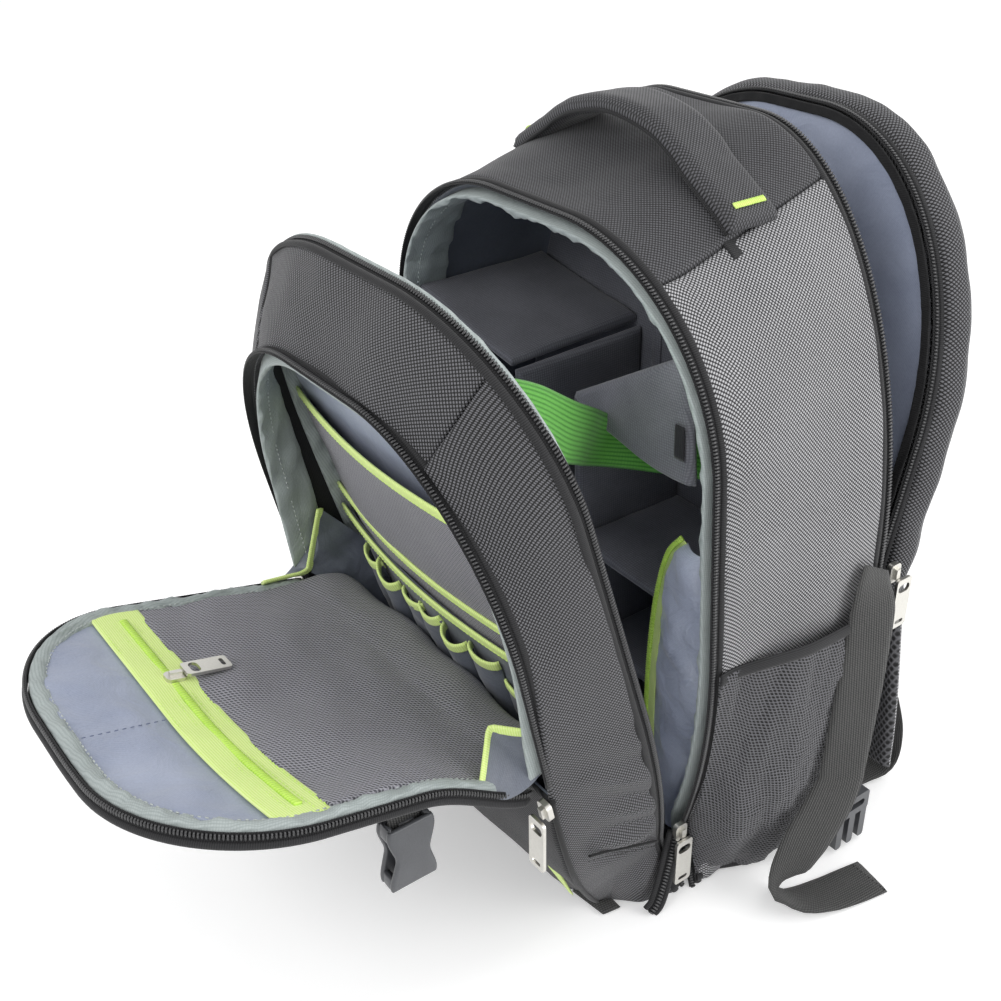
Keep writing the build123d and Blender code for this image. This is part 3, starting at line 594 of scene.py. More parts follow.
def make_finishes():
    """Every finish of the bag, by the name that its pieces use.

    The threads of nylon, satin and lining lie 0.1 to 1 mm apart, too fine to show at arm's length,
    so their weaves are drawn coarser than real. Webbing, ribs and meshes are drawn at about the
    pitch that such cloths usually have.
    """
    colours = bpy.context.scene.backpack_colours
    satin = {"rough": 0.42, "sheen": 0.3, "depth": 0.08, "contrast": 0.3, "wear": 0.45, "gloss": 0.6}
    FINISHES.update(
        # Coarse basket-woven nylon, the lit copy: painted glints, pale on dark threads, so it looks grey
        # and granular; its light threads are paler than the shaded copy's, painted light on the body's
        # sides.
        nylon=cloth("Lit ballistic nylon", "#1a1a1c", colours.side, "ballistic", 2.3, rough=0.55, sheen=0.1,
                    depth=0.8, contrast=1.9),
        # The same cloth with painted shade: darker than the lit copy, deep black between sharp painted
        # glints.
        shell=cloth("Shaded ballistic nylon", "#0d0d0e", colours.cover, "ballistic", 2.3, rough=0.5,
                    sheen=0.1, depth=1.0, contrast=2.8),
        # Finer nylon of the top and the handle: even dark grey with little glint.
        top=cloth("Fine basket nylon", "#161617", colours.top, "ballistic", 2.1, rough=0.65, depth=0.4,
                  contrast=1.2),
        # Nylon woven with cross ribs: fine level lines on near black.
        ribbed=cloth("Cross-ribbed nylon", "#0f0f10", "#3f3f42", "ribs", 2.2, rough=0.7, depth=0.6,
                     contrast=1.2),
        # Flat polyester webbing: dull dark grey with a slanting grain.
        webbing=cloth("Polyester webbing", "#1e1e1f", colours.webbing, "twill", 1.5, rough=0.75,
                      depth=0.6, contrast=0.9),
        # Grosgrain folded over an edge: matt black with fine ribs.
        binding=cloth("Grosgrain binding", "#121213", "#303032", "ribs", 1.1, rough=0.75, depth=0.3),
        # Woven tape of the zips: matt black, duller than the coil on it.
        tape=cloth("Zip tape", "#0c0c0d", "#242426", "ribs", 1.2, rough=0.8, depth=0.4),
        # Polyester satin: soft blue-grey sheen, brighter and darker where it folds.
        satin=cloth("Satin lining", "#7d869e", colours.satin, "twill", 1.0, fold=0.35, **satin),
        # The same satin with painted shade, darker, for its places in shade inside the body and the
        # pockets; and with painted light, paler, for the wings in the mouth's shade, which are also
        # creased more.
        slate=cloth("Shaded satin", "#4e535e", "#7a808c", "twill", 1.0, fold=0.3,
                    **{**satin, "rough": 0.45, "gloss": 0.5}),
        pale=cloth("Lit satin lining", "#a0a8be", "#d8dfef", "twill", 1.0, fold=0.95, **satin),
        # Soft lining tape of the zips: matt grey-green, slightly ruffled.
        sage=cloth("Sage lining tape", "#8c9594", colours.sage, "twill", 1.3, rough=0.7, depth=0.2,
                   contrast=0.5, fold=0.45),
        # Dyed grosgrain: bright yellow-green with fine pale ribs.
        lime=cloth("Lime grosgrain", "#cfee74", colours.lime, "ribs", 1.4, rough=0.7, depth=0.35,
                   contrast=0.7),
        # Knitted elastic with rubber cords: saturated green with lines along it.
        green=cloth("Green elastic", "#3b7a2a", colours.elastic, "cords", 2.4, rough=0.7, depth=0.6,
                    contrast=0.9),
        # Brushed loops over foam: dead matt grey, uneven where it was stroked.
        loop=cloth("Brushed loop cloth", "#4c4d54", colours.padding, "plain", 1.6, rough=0.95, sheen=0.4,
                   contrast=0.4, wear=0.35),
        # Plain polyester lining: black with hardly any texture.
        lining=cloth("Black lining", "#121214", "#303034", "twill", 1.2, rough=0.8, depth=0.2,
                     contrast=0.5, fold=0.2),
        # Elastic net of the side pockets: dark threads with lighter edges.
        mesh=cloth("Pocket mesh", "#0b0b0c", colours.mesh, "knit", 2.1, rough=0.7, depth=0.8,
                   contrast=1.2),
        # Close net over satin: mid grey with a fine grain.
        fine_mesh=cloth("Fine mesh", "#4c4c52", "#a4a3ab", "knit", 2.0, rough=0.7, depth=0.6,
                        contrast=0.9),
        # Thick spacer net of the pads: black pits between grey strands.
        air_mesh=cloth("Spacer mesh", "#161617", "#58585b", "mesh", 3.4, depth=1.0),
        # Spun polyester threads, each a little paler than the cloth it is sewn in.
        thread=solid("Black thread", "#1c1c1d", "#3a3a3c", 0.6),
        pale_thread=solid("Grey thread", "#a3aaa8", "#cdd3d1", 0.6),
        blue_thread=solid("Blue-grey thread", "#59617a", "#7d86a0", 0.6),
        lime_thread=solid("Lime thread", "#c2e65a", "#e6ff9a", 0.6),
        # Wound nylon filament: smoother than tape, so each tooth has a small highlight.
        coil=solid("Nylon zip coil", "#0c0c0e", "#29292c", 0.4, gloss=0.7, coat=0.2),
        lime_coil=solid("Lime zip coil", "#b0dc44", "#dafa7c", 0.4),
        # Die-cast zinc with satin nickel plating: soft bright reflections, no sharp mirror.
        nickel=solid("Satin nickel", "#c0beb7", colours.metal, 0.32, metallic=1.0, grain=1.11),
        # Injection-moulded acetal: dark grey, waxy, with a fine spark-eroded grain.
        plastic=solid("Moulded acetal", "#36373a", colours.plastic, 0.35, grain=0.667, depth=0.12),
    )


# ------------------------------------------------------------ parts that many pieces share
def edge_line(plane, outline, inset, out, bottom=0.0):
    """Line along an arched outline, and the direction into the arch at each point."""
    flat = arch(outline, inset, bottom)
    flat = resample(flat, int(lengths(flat)[-1] / 4.0))
    tangent = unit(np.gradient(flat, axis=0))
    inward = -tangent[:, 1:] * AX + tangent[:, :1] * plane[1]
    return on(plane, flat[:, 0], flat[:, 1], out), inward


def band(plane, outline, near, far, bottom, columns):
    """Grid between two copies of an outline, each given as (inset, out)."""
    first = edge_line(plane, outline, near[0], near[1], bottom)[0]
    last = edge_line(plane, outline, far[0], far[1], bottom)[0]
    first = resample(first, max(len(first), len(last)))
    last = resample(last, len(first))
    t = edged(columns, np.linalg.norm(first[0] - last[0]) + 1, 1.0)[None, :, None]
    return first[:, None] * (1 - t) + last[:, None] * t


def filled(plane, outline, inset, out, bottom, top=None, columns=36):
    """Grid of points that fills an arched outline from bottom to top, or to its crown."""
    rows, edge = 36, 4.0
    flat = arch(outline, inset, min(bottom, outline[5] - 0.01))
    right = flat[:len(flat) // 2]
    if top is None:
        height = outline[1] - inset - bottom
        reach = bottom + height * np.sin(np.linspace(0, math.pi / 2, rows + 4))
        foot = bottom + edged(8, height, edge)[:4] * height
        reach = np.concatenate([foot, reach[reach > bottom + edge]])
    else:
        reach = bottom + (top - bottom) * edged(rows, top - bottom, edge)
    half = np.interp(reach, right[:, 1], right[:, 0])
    across = 2 * edged(columns, 2 * half.max(), edge) - 1
    return on(plane, half[:, None] * across[None], reach[:, None], out)


def zip_half(name, line, across, out, body, nodes=(), width=6.6, coil_at=4.3,
             tape="tape", coil="coil", binding="binding"):
    """Half a zip: tape from a line across, its coil near the free edge, and the bound seam.

    out is the direction that the coil stands proud of the tape.
    """
    across = np.broadcast_to(across, line.shape)
    t = np.array([0, 0.08, 0.5, 0.92, 1.0])[None, :, None] * width
    pad(name + "_tape", line[:, None] + across[:, None] * t, 0.9, tape, body,
        nodes, towards=out[:, None] * np.ones((1, 5, 1)), edge=0.5)
    spots = line + across * coil_at + out * 0.9
    dense = resample(spots, int(lengths(spots)[-1] / size("tooth_pitch")))
    tangent = unit(np.gradient(dense, axis=0))
    square = unit(carried(across, shares(spots), np.linspace(0, 1, len(dense))))
    slant = unit(square + 0.12 * tangent)
    repeated(name + "_coil", dense, slant, tangent, bar(3.8, 1.5, 2.1), coil, body)
    if binding:
        sweep(name + "_binding", line - across + out * 0.3, across, oval(4.6, 3.0), binding, body)


def strip(first, last, near, far, inward, centre):
    """Grid inside a wall that runs from one line to another, near to far mm from the first."""
    span = np.linalg.norm(last - first, axis=-1)[:, None, None]
    reach = (near + (far - near) * edged(7, abs(far - near), 0.8))[None, :, None]
    grid = first[:, None] + (last - first)[:, None] * reach / span
    normal = normals_of(grid, outwards(grid, centre))
    return grid - normal * inward


def stitches(name, line, out, body, finish="thread", *, every, long=2.6, thick=0.7):
    """Row of stitches along a line."""
    spots = resample(line, max(int(lengths(line)[-1] / every), 2))
    out = np.broadcast_to(out, line.shape)
    out = unit(carried(out, shares(line), np.linspace(0, 1, len(spots))))
    tangent = unit(np.gradient(spots, axis=0))
    stitch = bar(long, thick, thick, 3, 5)
    repeated(name, spots, tangent, np.cross(out, tangent), stitch, finish, body)


def strap(name, points, across, width, thick, finish, body, nodes=(), step=5.0, blend=None):
    """Flat webbing along a smooth line through points, with a direction across at each."""
    points, across = np.asarray(points, float), np.asarray(across, float)
    count = max(int(lengths(points)[-1] / step), 12)
    line = smooth_line(points, count)
    side = carried(unit(across), shares(points), shares(line))
    sweep(name, line, side, strap_profile(width, thick), finish, body, nodes, blend)


def once(sign, node):
    """The node that a pair of pieces replaces, which only the first of them names."""
    return [node] if sign > 0 else []


SIDES = (("right", 1), ("left", -1))


def both(make):
    """Makes a right-hand piece and its mirror image: make(side word, sign)."""
    for word, sign in SIDES:
        make(word, sign)


def outwards(grid, middle):
    """Directions from a middle point to the points of a grid."""
    return unit(np.asarray(grid) - np.asarray(middle, float))


BODY_SOFT = (286.0, 411.0, 112.0, 113.0, 41.0, 189.0)   # the body's front with its sides drawn in
ZIP_ROOM = 7.6                          # a wall stops this far short of the plane of its zip


def body_edges(seams, part, count, inset=3.0):
    """Edges of a body panel at the mouth, at the front corner and at the back, point for point.

    seams are how far from the middle the panel's seam runs at the mouth and at the back.
    """
    near, far = seams or (None, None)
    front = on(moved(mouth_plane, -ZIP_ROOM), *arch(BODY_SOFT, inset, 0.0, near, part).T)
    corner = on(moved(mouth_plane, -24), *arch(BODY_FRONT, inset - 1, 0.0, near, part).T)
    back = on(moved(back_plane, ZIP_ROOM - 1), *arch(BODY_BACK, inset, 0.0, far, part).T)
    at = edged(count, lengths(back)[-1], 4.0)
    return resample(front, at=at), resample(corner, at=at), resample(back, at=at)


def between(first, last, columns=26):
    """Grid of points from one line to another."""
    t = edged(columns, 100.0, 4.0)[None, :, None]
    return first[:, None] * (1 - t) + last[:, None] * t


def body_wall(seams, part, count, inset=3.0):
    """Grid over a body panel, rounded where the front turns into the side."""
    front, corner, back = body_edges(seams, part, count, inset)
    grid = np.concatenate([between(front, corner, 8)[:, :-1], between(corner, back, 26)[:, 4:]], 1)
    near_front = np.linspace(1, 0, grid.shape[1] - 2)[None, :, None] ** 2
    for _ in range(14):
        midway = 0.5 * (grid[:, :-2] + grid[:, 2:])
        grid[:, 1:-1] += 0.5 * (midway - grid[:, 1:-1]) * near_front
    return grid


def tucked(grid):
    """Draws in the foot of the side walls, which stand on a narrower base."""
    low = np.clip(1 - grid[..., 2] / 48, 0, 1) ** 1.5
    free = np.clip((52 - grid[..., 1]) / 26, 0, 1) * np.clip((grid[..., 0] - 128) / 12, 0, 1)
    return grid - (15 * low * free)[..., None] * AX


BODY_SEAMS = (94.0, 86.0)               # half width of the top panel at the mouth and at the back


class BACKPACK_OT_body(bpy.types.Operator):
    """Padded walls of the body, its lining, seams and the two fixed zip halves"""
    bl_idname = "backpack.body"
    bl_label = "Body"

    def execute(self, context):
        centre = (0, 0, 190)

        def side(word, sign):
            """A side wall."""
            grid = tucked(body_wall(BODY_SEAMS, "side", 90)) * [sign, 1, 1]
            # The lit copy of the nylon: its paler threads are painted light on the sides.
            pad(f"side_wall_{word}", grid, 6.0, "nylon", "bag",
                once(sign, "side_panels"), outwards(grid, centre), 2.5, crown=size("side_puff"),
                crease=lambda p: 1.3 * ripple(p, 130, 3), lining="slate", anchor=-1)

        both(side)
        # Top, base and the padded wall between camera and laptop.
        grid = body_wall(BODY_SEAMS, "top", 50)
        pad("top_wall", grid, 6.0, "top", "bag", ["top_panel"],
            outwards(grid, centre), 2.5, crown=3.5, crease=lambda p: ripple(p, 90, 5),
            lining="slate")
        y = FRONT_Y - 3 + 108 * edged(20, 108, 3.0)
        half = np.interp(y, [y[0], -40, 20, y[-1]], [122, 125, 129, 140])
        across = 2 * edged(30, 250, 3.0) - 1
        base = np.stack(np.broadcast_arrays(half[:, None] * across[None], y[:, None], 3.0), -1)
        pad("base_wall", base, 5.6, "nylon", "bag", ["base_panel", "front_corners"], -AZ,
            2.5, lining="lining", share=0.5)
        wall = filled(leaning(39, 0, 0), BODY_BACK, 9.0, 0.0, 7.0)
        pad("back_wall_padding", wall, 6.0, "loop", "bag", ["back_wall"], -AY, 3.0,
            crown=1.5, crease=lambda p: 0.8 * ripple(p, 80, 8), lining="lining")
        # The body's halves of the two zips, and the ruffled tape inside the mouth.
        line, inward = edge_line(mouth_plane, BODY_SOFT, 1.2, -7.0)
        zip_half("mouth_zip", line, mouth_plane[2], -inward, "bag", nodes=["mouth_zip"])
        line, inward = edge_line(back_plane, LAPTOP_MOUTH, 0.4, 6.0, bottom=PANEL_FOLD)
        zip_half("laptop_mouth_zip", line, AY, -inward, "bag", nodes=["laptop_mouth_zip"])
        mouth, _, rear = body_edges(None, "all", 320)
        cuff = strip(mouth, rear, -8.0, 24.0, 4.6, centre)
        pad("mouth_cuff", cuff, 2.8, "sage", "bag", [], -outwards(cuff, centre), 1.2,
            crown=1.6, crown_size=5, crease=lambda p: 2.0 * ripple(p, 17, 11, 2))
        line = strip(mouth, rear, 1.0, 2.0, 7.6, centre)[:, 0]
        stitches("mouth_cuff_stitches", line, -outwards(line, centre), "bag",
                 "pale_thread", every=3.6, long=2.4, thick=0.9)
        return {"FINISHED"}


class BACKPACK_OT_dividers(bpy.types.Operator):
    """Padded dividers, the satin wings inside the mouth and the green stop strap"""
    bl_idname = "backpack.dividers"
    bl_label = "Dividers"

    def execute(self, context):
        def board(name, corners, seed, nodes=(), towards=AZ):
            """A padded board between four corners."""
            a, b, c, d = (np.array(corner, float) for corner in corners)
            u = edged(14, np.linalg.norm(b - a), 3.2)[None, :, None]
            v = edged(14, np.linalg.norm(d - a), 3.2)[:, None, None]
            grid = (a * (1 - u) + b * u) * (1 - v) + (d * (1 - u) + c * u) * v
            pad(name, grid, 6.5, "loop", "bag", nodes, towards, 3.2, crown=0.8,
                crease=lambda p: 1.2 * ripple(p, 90, seed), lining="loop")

        front = [on(mouth_plane, 0, z, -9)[1] for z in (0, 200, 315)]
        board("divider_shelf_top",
              [(-134, front[2], 318), (-37, front[2] + 3, 299), (-37, 34, 303), (-134, 34, 318)],
              21, ["divider_upper"])
        board("divider_drop",
              [(-34, front[1] + 4, 200), (-34, 34, 200), (-34, 34, 299), (-34, front[2] + 4, 296)], 22,
              towards=AX)
        board("divider_tall", [(5, -43, 8), (5, 34, 8), (5, 34, 289), (5, -49, 289)], 23,
              ["divider_tall"], AX)
        board("divider_shelf_middle", [(8, -50, 193), (136, -52, 193), (140, 34, 193), (8, 34, 193)],
              24, ["divider_shelves"])
        board("divider_shelf_low", [(8, -39, 115), (128, -40, 115), (136, 34, 115), (8, 34, 115)], 25)
        board("divider_shelf_left", [(-136, -40, 153), (1, -38, 153), (1, 34, 153), (-140, 34, 153)], 26)
        # The divider folded over at the top, with its hook strip, and the tab below it.
        inner = moved(mouth_plane, -9)
        edge = np.array([(26.7, 303.9), (36, 300), (45.2, 296.3), (58.4, 292.4), (70.6, 289.5), (88, 286),
                         (103.3, 286), (121, 288)])
        lower = smooth_line(on(inner, edge[:, 0], edge[:, 1]), 40)
        upper = resample([on(inner, 26.5, 306), on(inner, 118, 362)], 40)
        pad("divider_folded", between(lower, upper, 16), 7.0, "loop", "bag",
            ["divider_folded"], -AY, 3.5, crown=1.5, crease=lambda p: 1.4 * ripple(p, 70, 27),
            lining="loop")
        hook = between(resample([on(inner, 111, 303, 5.6), on(inner, 112, 323, 5.6)], 10),
                       resample([on(inner, 118, 303, 5.2), on(inner, 118, 323, 5.2)], 10), 6)
        pad("divider_hook_strip", hook, 1.6, "lining", "bag", [], -AY, 0.7)
        tab = np.array([[(x, 33.5, z) for x in (-21, -20, -14, -13)] for z in (276, 277, 311, 312)])
        pad("divider_tab", tab, 2.0, "loop", "bag", [], -AY, 0.8)

        def wing(word, sign):
            """A satin wing beside the mouth, with its half zip."""
            edge = [(112, 247), (101, 231), (92, 198), (86, 158), (82.5, 117), (81, 68), (84, 26)]
            edge = smooth_line(edge, 44)
            t = np.linspace(0, 1, 12)[:, None]
            wall = np.interp(edge[:, 1], [0, 47, 90, 120, 189], [118, 112, 124, 131, 137])[None]
            x = edge[None, :, 0] * (1 - t) + wall * t
            plane = moved(mouth_plane, -12.5)
            reach = np.broadcast_to(edge[None, :, 1], x.shape)
            grid = on(plane, sign * x, reach, 7 * np.sin(t * 3.0) - 5 * t)
            # The wing takes the paler satin: painted light against the shade in the mouth.
            pad(f"wing_{word}", grid, 1.4, "pale", "bag", once(sign, "wings"),
                -AY, 0.6, crease=lambda p: 3.0 * ripple(p, 42, 31))
            line = on(plane, sign * edge[:, 0], edge[:, 1], 1.2)
            tangent = unit(np.gradient(line, axis=0))
            side = np.cross(tangent, mouth_plane[2]) * sign
            side = side * np.sign(side[len(side) // 2, 0] * -sign)
            out = np.broadcast_to(mouth_plane[2], line.shape)
            zip_half(f"wing_zip_{word}", line - side * 3, side, out, "bag",
                     once(sign, "wing_zips"), 8.0, 6.6, "lime", "lime_coil", binding=None)

        both(wing)
        points = [(113, -168, 360), (104, -149, 346), (88, -122, 324), (70, -95, 305), (57, -77, 292),
                  (53, -61, 284), (66, -46, 283), (96, -41, 290), (127, -41, 294)]
        across = [(-0.45, -0.25, 0.86), (-0.3, 0, 0.92), (-0.1, 0.2, 0.95), (0.05, 0.32, 0.95),
                  (0.1, 0.36, 0.93), (0.1, 0.34, 0.95), (0.05, 0.3, 0.95), (0, 0.1, 1), (0, 0.1, 1)]
        strap("stop_strap", points, across, size("stop_strap_width"), 2.0, "green", None,
              ["stop_strap"], blend=("bag", "cover", (0.11, -0.07, 0.28), (0.105, -0.15, 0.352)))
        return {"FINISHED"}


class BACKPACK_OT_handle(bpy.types.Operator):
    """Carrying handle and its two sewn ends"""
    bl_idname = "backpack.handle"
    bl_label = "Handle"

    def execute(self, context):
        y, wide = -10.0, size("handle_width")
        arm = [(0, 449.5), (30, 445.5), (48, 438), (62, 428), (77, 418.5), (87, 412), (95, 405.5)]
        far = [(-82, 411.5), (-74, 417), (-66, 422.5), (-54, 430), (-42, 438), (-26, 444.5)]
        points = [(x, y, z) for x, z in far + arm]
        line = smooth_line(points, 80)
        grid = line[:, None] + (wide * (edged(16, wide, 5.0) - 0.5))[None, :, None] * AY
        pad("handle_grip", grid, 10.5, "top", "bag", ["handle_grip"],
            outwards(grid, (0, y, 330)), 6.0, crown=0.8, crease=lambda p: 0.5 * ripple(p, 40, 41))
        for word, sign in (("front", -1), ("back", 1)):
            edge = line + AY * sign * (wide / 2 - 0.6) - outwards(line, (0, y, 330)) * 2.5
            sweep(f"handle_piping_{word}", edge, AY, oval(2.4, 2.4, 8), "binding", "bag")

        def anchor(word, sign):
            """A sewn end of the handle."""
            flat = body_wall(None, "all", 300, -1.5)[:, 14]
            end = 100 if sign > 0 else 87
            beside = flat[:, 0] * sign
            path = flat[(beside > end - 32) & (beside < end) & (flat[:, 2] > 330)]
            path = resample(path if path[0, 0] * sign < path[-1, 0] * sign else path[::-1], 22)
            lift = outwards(path, (0, y, 250)) * 2.6
            grid = path[:, None] + lift[:, None] + (38 * (edged(12, 38, 1.5) - 0.5))[None, :, None] * AY
            grid[..., 1] += y - grid[..., 1].mean()
            pad(f"handle_anchor_{word}", grid, 2.2, "binding", "bag",
                once(sign, "handle_anchors"), AZ, 1.0, crown=0.4)
            tack = (90.5, 416.9) if sign > 0 else (-77.5, 422.3)
            across = np.stack([[tack[0], y + s, tack[1]] for s in np.linspace(-10, 10, 17)])
            repeated(f"handle_bartack_{word}", across, unit(np.array([sign * 0.8, 0, -0.6])), AY,
                     bar(4.6, 1.5, 1.5, 3, 6), "lime_thread", "bag")

        both(anchor)
        return {"FINISHED"}


def gathered(points):
    """Folds of a mesh pocket, whose top is gathered."""
    large = size("pocket_gather") * ripple(points * [1, 1.6, 0.5], 60, 51)
    return large + ripple(points, 18, 52, 2)


def pocket_edge(z):
    """Half width of the body's mouth at a height."""
    t = np.clip((189.0 - z) / 189.0, 0, 1)
    return 143.0 - 41.0 * t ** 2 + foot_flare(z)


class BACKPACK_OT_side_pockets(bpy.types.Operator):
    """Mesh pockets on the two sides, with their bound tops"""
    bl_idname = "backpack.side_pockets"
    bl_label = "Side pockets"

    def execute(self, context):
        def pocket(word, sign):
            """A side pocket, its bound top and its piped foot."""
            rows = []
            for t in edged(34, 180, 1.5):
                z = 5 + (np.array([180.0, 181.0, 184.5, 185.5, 185.0, 183.0]) - 5) * t
                mouth_y = on(mouth_plane, 0, float(z[0]))[1]
                heel = np.interp(z[1], [0, 14], [131, 144])
                bulge = 9 * math.sin(min(t * 1.3, 1) * math.pi / 2)
                points = [(pocket_edge(z[0]) + 1.5, mouth_y + 5.5, z[0]),
                          (max(heel, pocket_edge(z[1])) + 1, mouth_y + 17, z[1]),
                          (146.5 + bulge * 0.7, mouth_y + 36, z[2]), (149.5 + bulge, -8, z[3]),
                          (151.5 + bulge * 0.8, 20, z[4]), (156.5, 47, z[5])]
                rows.append(smooth_line(points, 60))
            grid = np.array(rows)
            t = edged(50, 110, 1.5)
            grid = tucked(np.array([resample(row, at=t) for row in grid])) * [sign, 1, 1]
            pad(f"side_pocket_{word}", grid[:-3], 1.2, "mesh", "bag",
                once(sign, "side_pockets"), AX * sign, 0.6, crease=gathered)
            top = grid[-1]
            band_grid = top[None] + np.linspace(0.6, -8.0, 6)[:, None, None] * AZ + AX * sign * 1.2
            pad(f"pocket_binding_{word}", band_grid, 2.0, "binding", "bag",
                once(sign, "pocket_bindings"), AX * sign, 0.9, crown=0.4, crown_size=2)
            low = grid[2] + AX * sign * 0.8
            sweep(f"pocket_foot_piping_{word}", low, AZ, oval(6, 2.4), "binding", "bag")

        both(pocket)
        return {"FINISHED"}


# The side strap's middle line from top to floor: each point, and the way across the strap there.
SIDE_STRAP = (((158.2, 44, 214), (0, 0.8, -0.6)), ((162, 39.5, 205), (0.2, 0.8, -0.55)),
              ((165.2, 36.5, 190), (0.4, 0.9, -0.2)), ((166.8, 33, 141), (0.5, 0.86, -0.05)),
              ((168.8, 26.5, 86), (0.5, 0.86, -0.12)), ((169.5, 24, 74), (0.52, 0.82, -0.22)),
              ((171, 12.5, 60), (0.64, 0.6, -0.44)), ((171.5, -3, 44), (0.6, 0.66, -0.45)),
              ((170.5, -13, 28), (0.35, 0.75, -0.55)), ((168, -19, 15.5), (-0.25, 0.75, -0.6)),
              ((169.5, -20.5, 9), (-0.65, 0.58, -0.48)), ((178, -12, 5.0), (-0.88, 0.38, -0.25)),
              ((184, 6, 2.8), (-0.97, 0.22, -0.08)), ((188, 25, 2), (-1, 0.1, 0)),
              ((191, 42, 1.6), (-1, 0.1, 0)))


class BACKPACK_OT_side_straps(bpy.types.Operator):
    """Compression straps on the sides, with the stitches of their hems"""
    bl_idname = "backpack.side_straps"
    bl_label = "Side straps"

    def execute(self, context):
        def side(word, sign):
            """A side strap and its hem."""
            points = np.array([point for point, _ in SIDE_STRAP]) * [sign, 1, 1]
            across = unit(np.array([way for _, way in SIDE_STRAP])) * [sign, 1, 1]
            strap(f"side_strap_{word}", points, across, size("side_strap_width"), 1.7, "webbing", "bag",
                  once(sign, "side_straps"))
            end = points[-1] + np.array([0, -3.0, 1.0])
            hem = np.stack([end - AX * 12, end + AX * 12])
            stitches(f"side_strap_hem_{word}", hem, AZ, "bag", every=2.6, long=1.8)

        both(side)
        return {"FINISHED"}


def cover_front(x, reach, out):
    """Front of the cover: the rim's plane above the flap's fold, and a bowed front below it."""
    x, reach, out = np.broadcast_arrays(np.asarray(x, float), np.asarray(reach, float), out)
    point = on(rim_plane, x, reach, out)
    fold = on(rim_plane, 0, FLAP_FOLD)
    z = point[..., 2]
    t = np.clip((z - 1.2) / (fold[2] - 1.2), 0, 1)
    foot, middle = -117.0, -150.0
    bowed = foot * (1 - t) * (1 - 2 * t) + 4 * middle * t * (1 - t) + fold[1] * t * (2 * t - 1)
    point[..., 1] = np.where(reach < FLAP_FOLD, bowed - out, point[..., 1])
    return point


COVER_SEAMS = (100.0, 82.0)             # half width of the cover's top beside the body and in front


def cover_edges(seams, part, count, inset=2.5):
    """Edges of a cover panel beside the body and at the front, matched point for point."""
    near, far = seams or (None, None)
    back = on(moved(cover_plane, ZIP_ROOM - 0.5), *arch(COVER_BACK, inset, 0.2, near, part).T)
    flat = arch(COVER_RIM, inset, 25.0, far, part)
    front = cover_front(flat[:, 0], flat[:, 1], -ZIP_ROOM + 0.5)
    front[:, 1] -= 6 * np.clip((FLAP_FOLD + 6 - flat[:, 1]) / 12, 0, 1)
    at = edged(count, lengths(front)[-1], 4.0)
    return resample(back, at=at), resample(front, at=at)


def cover_wall(seams, part, count, inset=2.5):
    """Grid over a cover panel, from the body to the front."""
    return between(*cover_edges(seams, part, count, inset))


def rounded_foot(points):
    """Rounds the cover's two front corners where they stand on the floor."""
    x, y, z = points[..., 0], points[..., 1], points[..., 2]
    low = np.clip(1 - z / 75, 0, 1) ** 1.4
    aside = np.clip((np.abs(x) - 82) / 26, 0, 1)
    ahead = np.clip((-86 - y) / 24, 0, 1)
    pull = low * aside * ahead
    return points + pull[..., None] * np.stack([-10 * np.sign(x), 9 + 0 * x, 0 * x], -1)


def crease_marks(points, marks):
    """Height of soft folds over points; each is (start, end, width, height) in mm."""
    total = np.zeros(points.shape[:-1])
    for start, end, width, height in marks:
        start, end = np.array(start, float), np.array(end, float)
        way = end - start
        t = np.clip(((points - start) @ way) / (way @ way), -0.2, 1.2)
        gap = np.linalg.norm((points - (start + np.clip(t, 0, 1)[..., None] * way)) * [0, 1, 1], axis=-1)
        taper = np.sin(np.clip((t + 0.2) / 1.4, 0, 1) * math.pi)
        total += height * taper * np.exp(-(gap / width) ** 2)
    return total


# Soft folds of the cover's sides and top corners, as crease_marks takes them.
COVER_FOLDS = (((107, -150, 184), (122, -105, 163), 5, -3.0),
               ((108, -147, 172), (122, -102, 152), 5, 3.8),
               ((108, -147, 160), (122, -102, 141), 4, -4.2), ((110, -143, 146), (123, -99, 124), 6, 4.8),
               ((111, -138, 131), (125, -95, 108), 4, -4.6), ((112, -134, 116), (125, -92, 96), 5, 4.6),
               ((112, -134, 103), (125, -92, 84), 4, -4.2), ((112, -133, 90), (125, -92, 72), 5, 4.4),
               ((113, -131, 77), (125, -92, 60), 5, -4.4), ((100, -120, 372), (88, -165, 352), 5, -2.2),
               ((106, -125, 362), (92, -168, 342), 5, 2.4))


def corner_marks():
    """Lime loop end and dark webbing tab at the right foot of the cover."""
    first = resample([(97, -142, 51), (102, -127, 20)], 12)
    last = resample([(105.5, -140.5, 51.5), (103.5, -126.5, 19.5)], 12)
    pad("foot_loop_lime", between(first, last, 6), 1.4, "lime", "cover", [], -AY, 0.6)
    first = resample([(88, -115, 2.6), (92, -100, 5)], 8)
    last = resample([(113.5, -111.5, 2.2), (116.5, -100, 3.5)], 8)
    pad("foot_tab", between(first, last, 10), 2.2, "webbing", "cover", [], AZ, 0.8)


